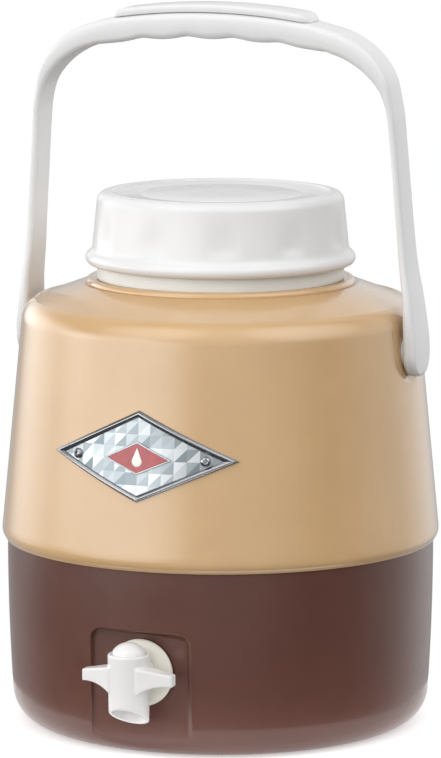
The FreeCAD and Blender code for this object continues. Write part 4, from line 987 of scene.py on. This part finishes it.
def make_screws():
    """Two domed screws with a hexagon socket, square to the wall."""
    bm = bmesh.new()
    base, head, points = PLATE_THICK + BADGE_GAP, SCREW_HEAD, 36
    for side in (1, -1):
        x = wall_radius(BADGE_MID_Z) * math.sin(SCREW_ANGLE) * side
        foot, tip = on_wall(x, BADGE_MID_Z, base), on_wall(x, BADGE_MID_Z, base + 1)
        place = Matrix.Translation(foot) @ (tip - foot).to_track_quat("Z", "Y").to_matrix().to_4x4()
        r = SCREW_HEAD_R
        profile = [(r, 0), (r, 0.5), (r * 0.95, 0.85), (r * 0.8, 1.3), (r * 0.6, 1.62), (r * 0.48, head)]
        rings = [[place @ Vector((q * math.cos(t), q * math.sin(t), h)) for t in
                  (math.tau * step / points for step in range(points))] for q, h in profile]
        socket = []
        for q, h in ((r * 0.44, head - 0.1), (r * 0.42, head - 1.0)):
            ring = []
            for step in range(points):
                t = math.tau * step / points
                flat = math.cos(math.pi / 6) / math.cos((t % (math.pi / 3)) - math.pi / 6)
                ring.append(place @ Vector((q * flat * math.cos(t), q * flat * math.sin(t), h)))
            socket.append(ring)
        lofted(bm, rings + socket)
    piece = as_object("badge_rivets", bm)
    fitted(piece, [CHROME], "jug_body", "badge_screws", crisp=30)


# ---- finishes of the CAD nodes that stay in view or inside ----
CAD_FINISHES = {
    "insulation_foam": FOAM, "lid_foam": FOAM, "foam_fill_plug": BROWN, "reservoir_liner": LINER,
    "lid_plug": WHITE, "lid_gasket": RUBBER, "pivot_bush_left": ACETAL, "pivot_bush_right": ACETAL,
    "tap_outer_washer": RUBBER, "tap_inner_washer": RUBBER, "tap_shank_nut": ACETAL,
    "tap_stem_seal": RUBBER, "tap_stem": ACETAL, "tap_valve": RUBBER, "tap_spring": STEEL,
}


def finish_cad_nodes():
    for node, material in CAD_FINISHES.items():
        piece = frame["nodes"][node]
        if not piece.material_slots:
            piece.data.materials.append(material)
        for holder in piece.material_slots:
            holder.material = material


# ---- studio ----
CAMERA_TURN, CAMERA_DIP = math.radians(22.3), math.radians(8.76)
CAMERA_PLACE, CAMERA_LENS = (1.0245, -2.4981, 0.612), 227.1     # metres, and a long portrait lens
FLOOR_R = 165


def make_camera():
    data = bpy.data.cameras.new("camera")
    data.sensor_width = 36.0
    data.lens = CAMERA_LENS
    data.clip_end = 100
    camera = bpy.data.objects.new("camera", data)
    camera.location = CAMERA_PLACE
    camera.rotation_euler = (math.pi / 2 - CAMERA_DIP, 0, CAMERA_TURN)
    bpy.context.scene.collection.objects.link(camera)
    bpy.context.scene.camera = camera


def make_floor():
    bm = bmesh.new()
    bmesh.ops.create_circle(bm, cap_ends=True, segments=96, radius=FLOOR_R)
    floor = as_object("floor", bm)
    # Matt, with the least mottling so that it isn't dead flat.
    floor.data.materials.append(one_pattern(
        "matt white studio floor", "TexNoise", {"Scale": 3.0, "Detail": 2.0},
        [(0.2, "F4F4F4"), (0.8, "F8F8F8")],
        {"Roughness": 0.8, "Emission Color": paint("FFFFFF"), "Emission Strength": 0.45}))


def studio_direction(turn, rise):
    """A direction from the jug; turn is in degrees to the camera's left, rise in degrees up."""
    turn, rise = CAMERA_TURN - math.pi / 2 - math.radians(turn), math.radians(rise)
    return Vector((math.cos(turn) * math.cos(rise), math.sin(turn) * math.cos(rise), math.sin(rise)))


def make_studio_sky():
    """White tent round the jug, lit through by soft lamps: (turn, rise, brightness, full inside
    this angle, gone outside this one, how much wider than tall)."""
    lamps = [(60, 4, 2.5, 10, 50, 3.0), (120, 5, 1.7, 15, 50, 3.0), (50, 44, 1.3, 5, 34, 1.0),
             (-60, 42, 1.4, 5, 38, 1.0), (0, 35, 0.7, 10, 65, 1.0), (-120, 5, 0.6, 20, 60, 2.0),
             (180, -5, 0.3, 40, 80, 2.0), (180, 50, 0.3, 10, 45, 1.0), (0, 90, 0.18, 78, 97, 1.0)]
    world = bpy.data.worlds.new("studio")
    bpy.context.scene.world = world
    world.use_nodes = True
    tree = world.node_tree
    tree.nodes.clear()
    where = add_node(tree, "TexCoord").outputs["Generated"]
    brightness = 0.14
    for turn, rise, power, full, gone, oblong in lamps:
        squash = Vector((1, 1, oblong))
        aim = (studio_direction(turn, rise) * squash).normalized()
        squashed = add_node(tree, "VectorMath", {0: where, 1: squash}, operation="MULTIPLY")
        ray = add_node(tree, "VectorMath", {0: squashed.outputs[0]}, operation="NORMALIZE")
        near = add_node(tree, "VectorMath", {0: ray.outputs[0], 1: aim}, operation="DOT_PRODUCT")
        glow = add_node(tree, "MapRange", {"Value": near.outputs["Value"],
                                           "From Min": math.cos(math.radians(gone)),
                                           "From Max": math.cos(math.radians(full)), "To Max": power},
                        interpolation_type="SMOOTHSTEP")
        brightness = add_node(tree, "Math", {0: brightness, 1: glow.outputs["Result"]},
                              operation="ADD").outputs[0]
    tent = add_node(tree, "Background", {"Color": (1, 1, 1, 1), "Strength": brightness})
    seen = add_node(tree, "Background", {"Color": (1, 1, 1, 1), "Strength": 1.0})
    path = add_node(tree, "LightPath")
    both = add_node(tree, "MixShader", {0: path.outputs["Is Camera Ray"], 1: tent.outputs[0],
                                        2: seen.outputs[0]})
    add_node(tree, "OutputWorld", {"Surface": both.outputs[0]})


def make_studio():
    bpy.context.scene.view_settings.view_transform = "Standard"
    make_camera()
    make_floor()
    make_studio_sky()


make_tan_shell()
make_brown_shell()
make_neck()
make_lid()
make_bail()
make_grip_cap()
make_tap_body()
make_tap_rose()
make_button()
make_badge_frame()
make_badge_plate()
make_emblem()
make_screws()
finish_cad_nodes()
make_studio()
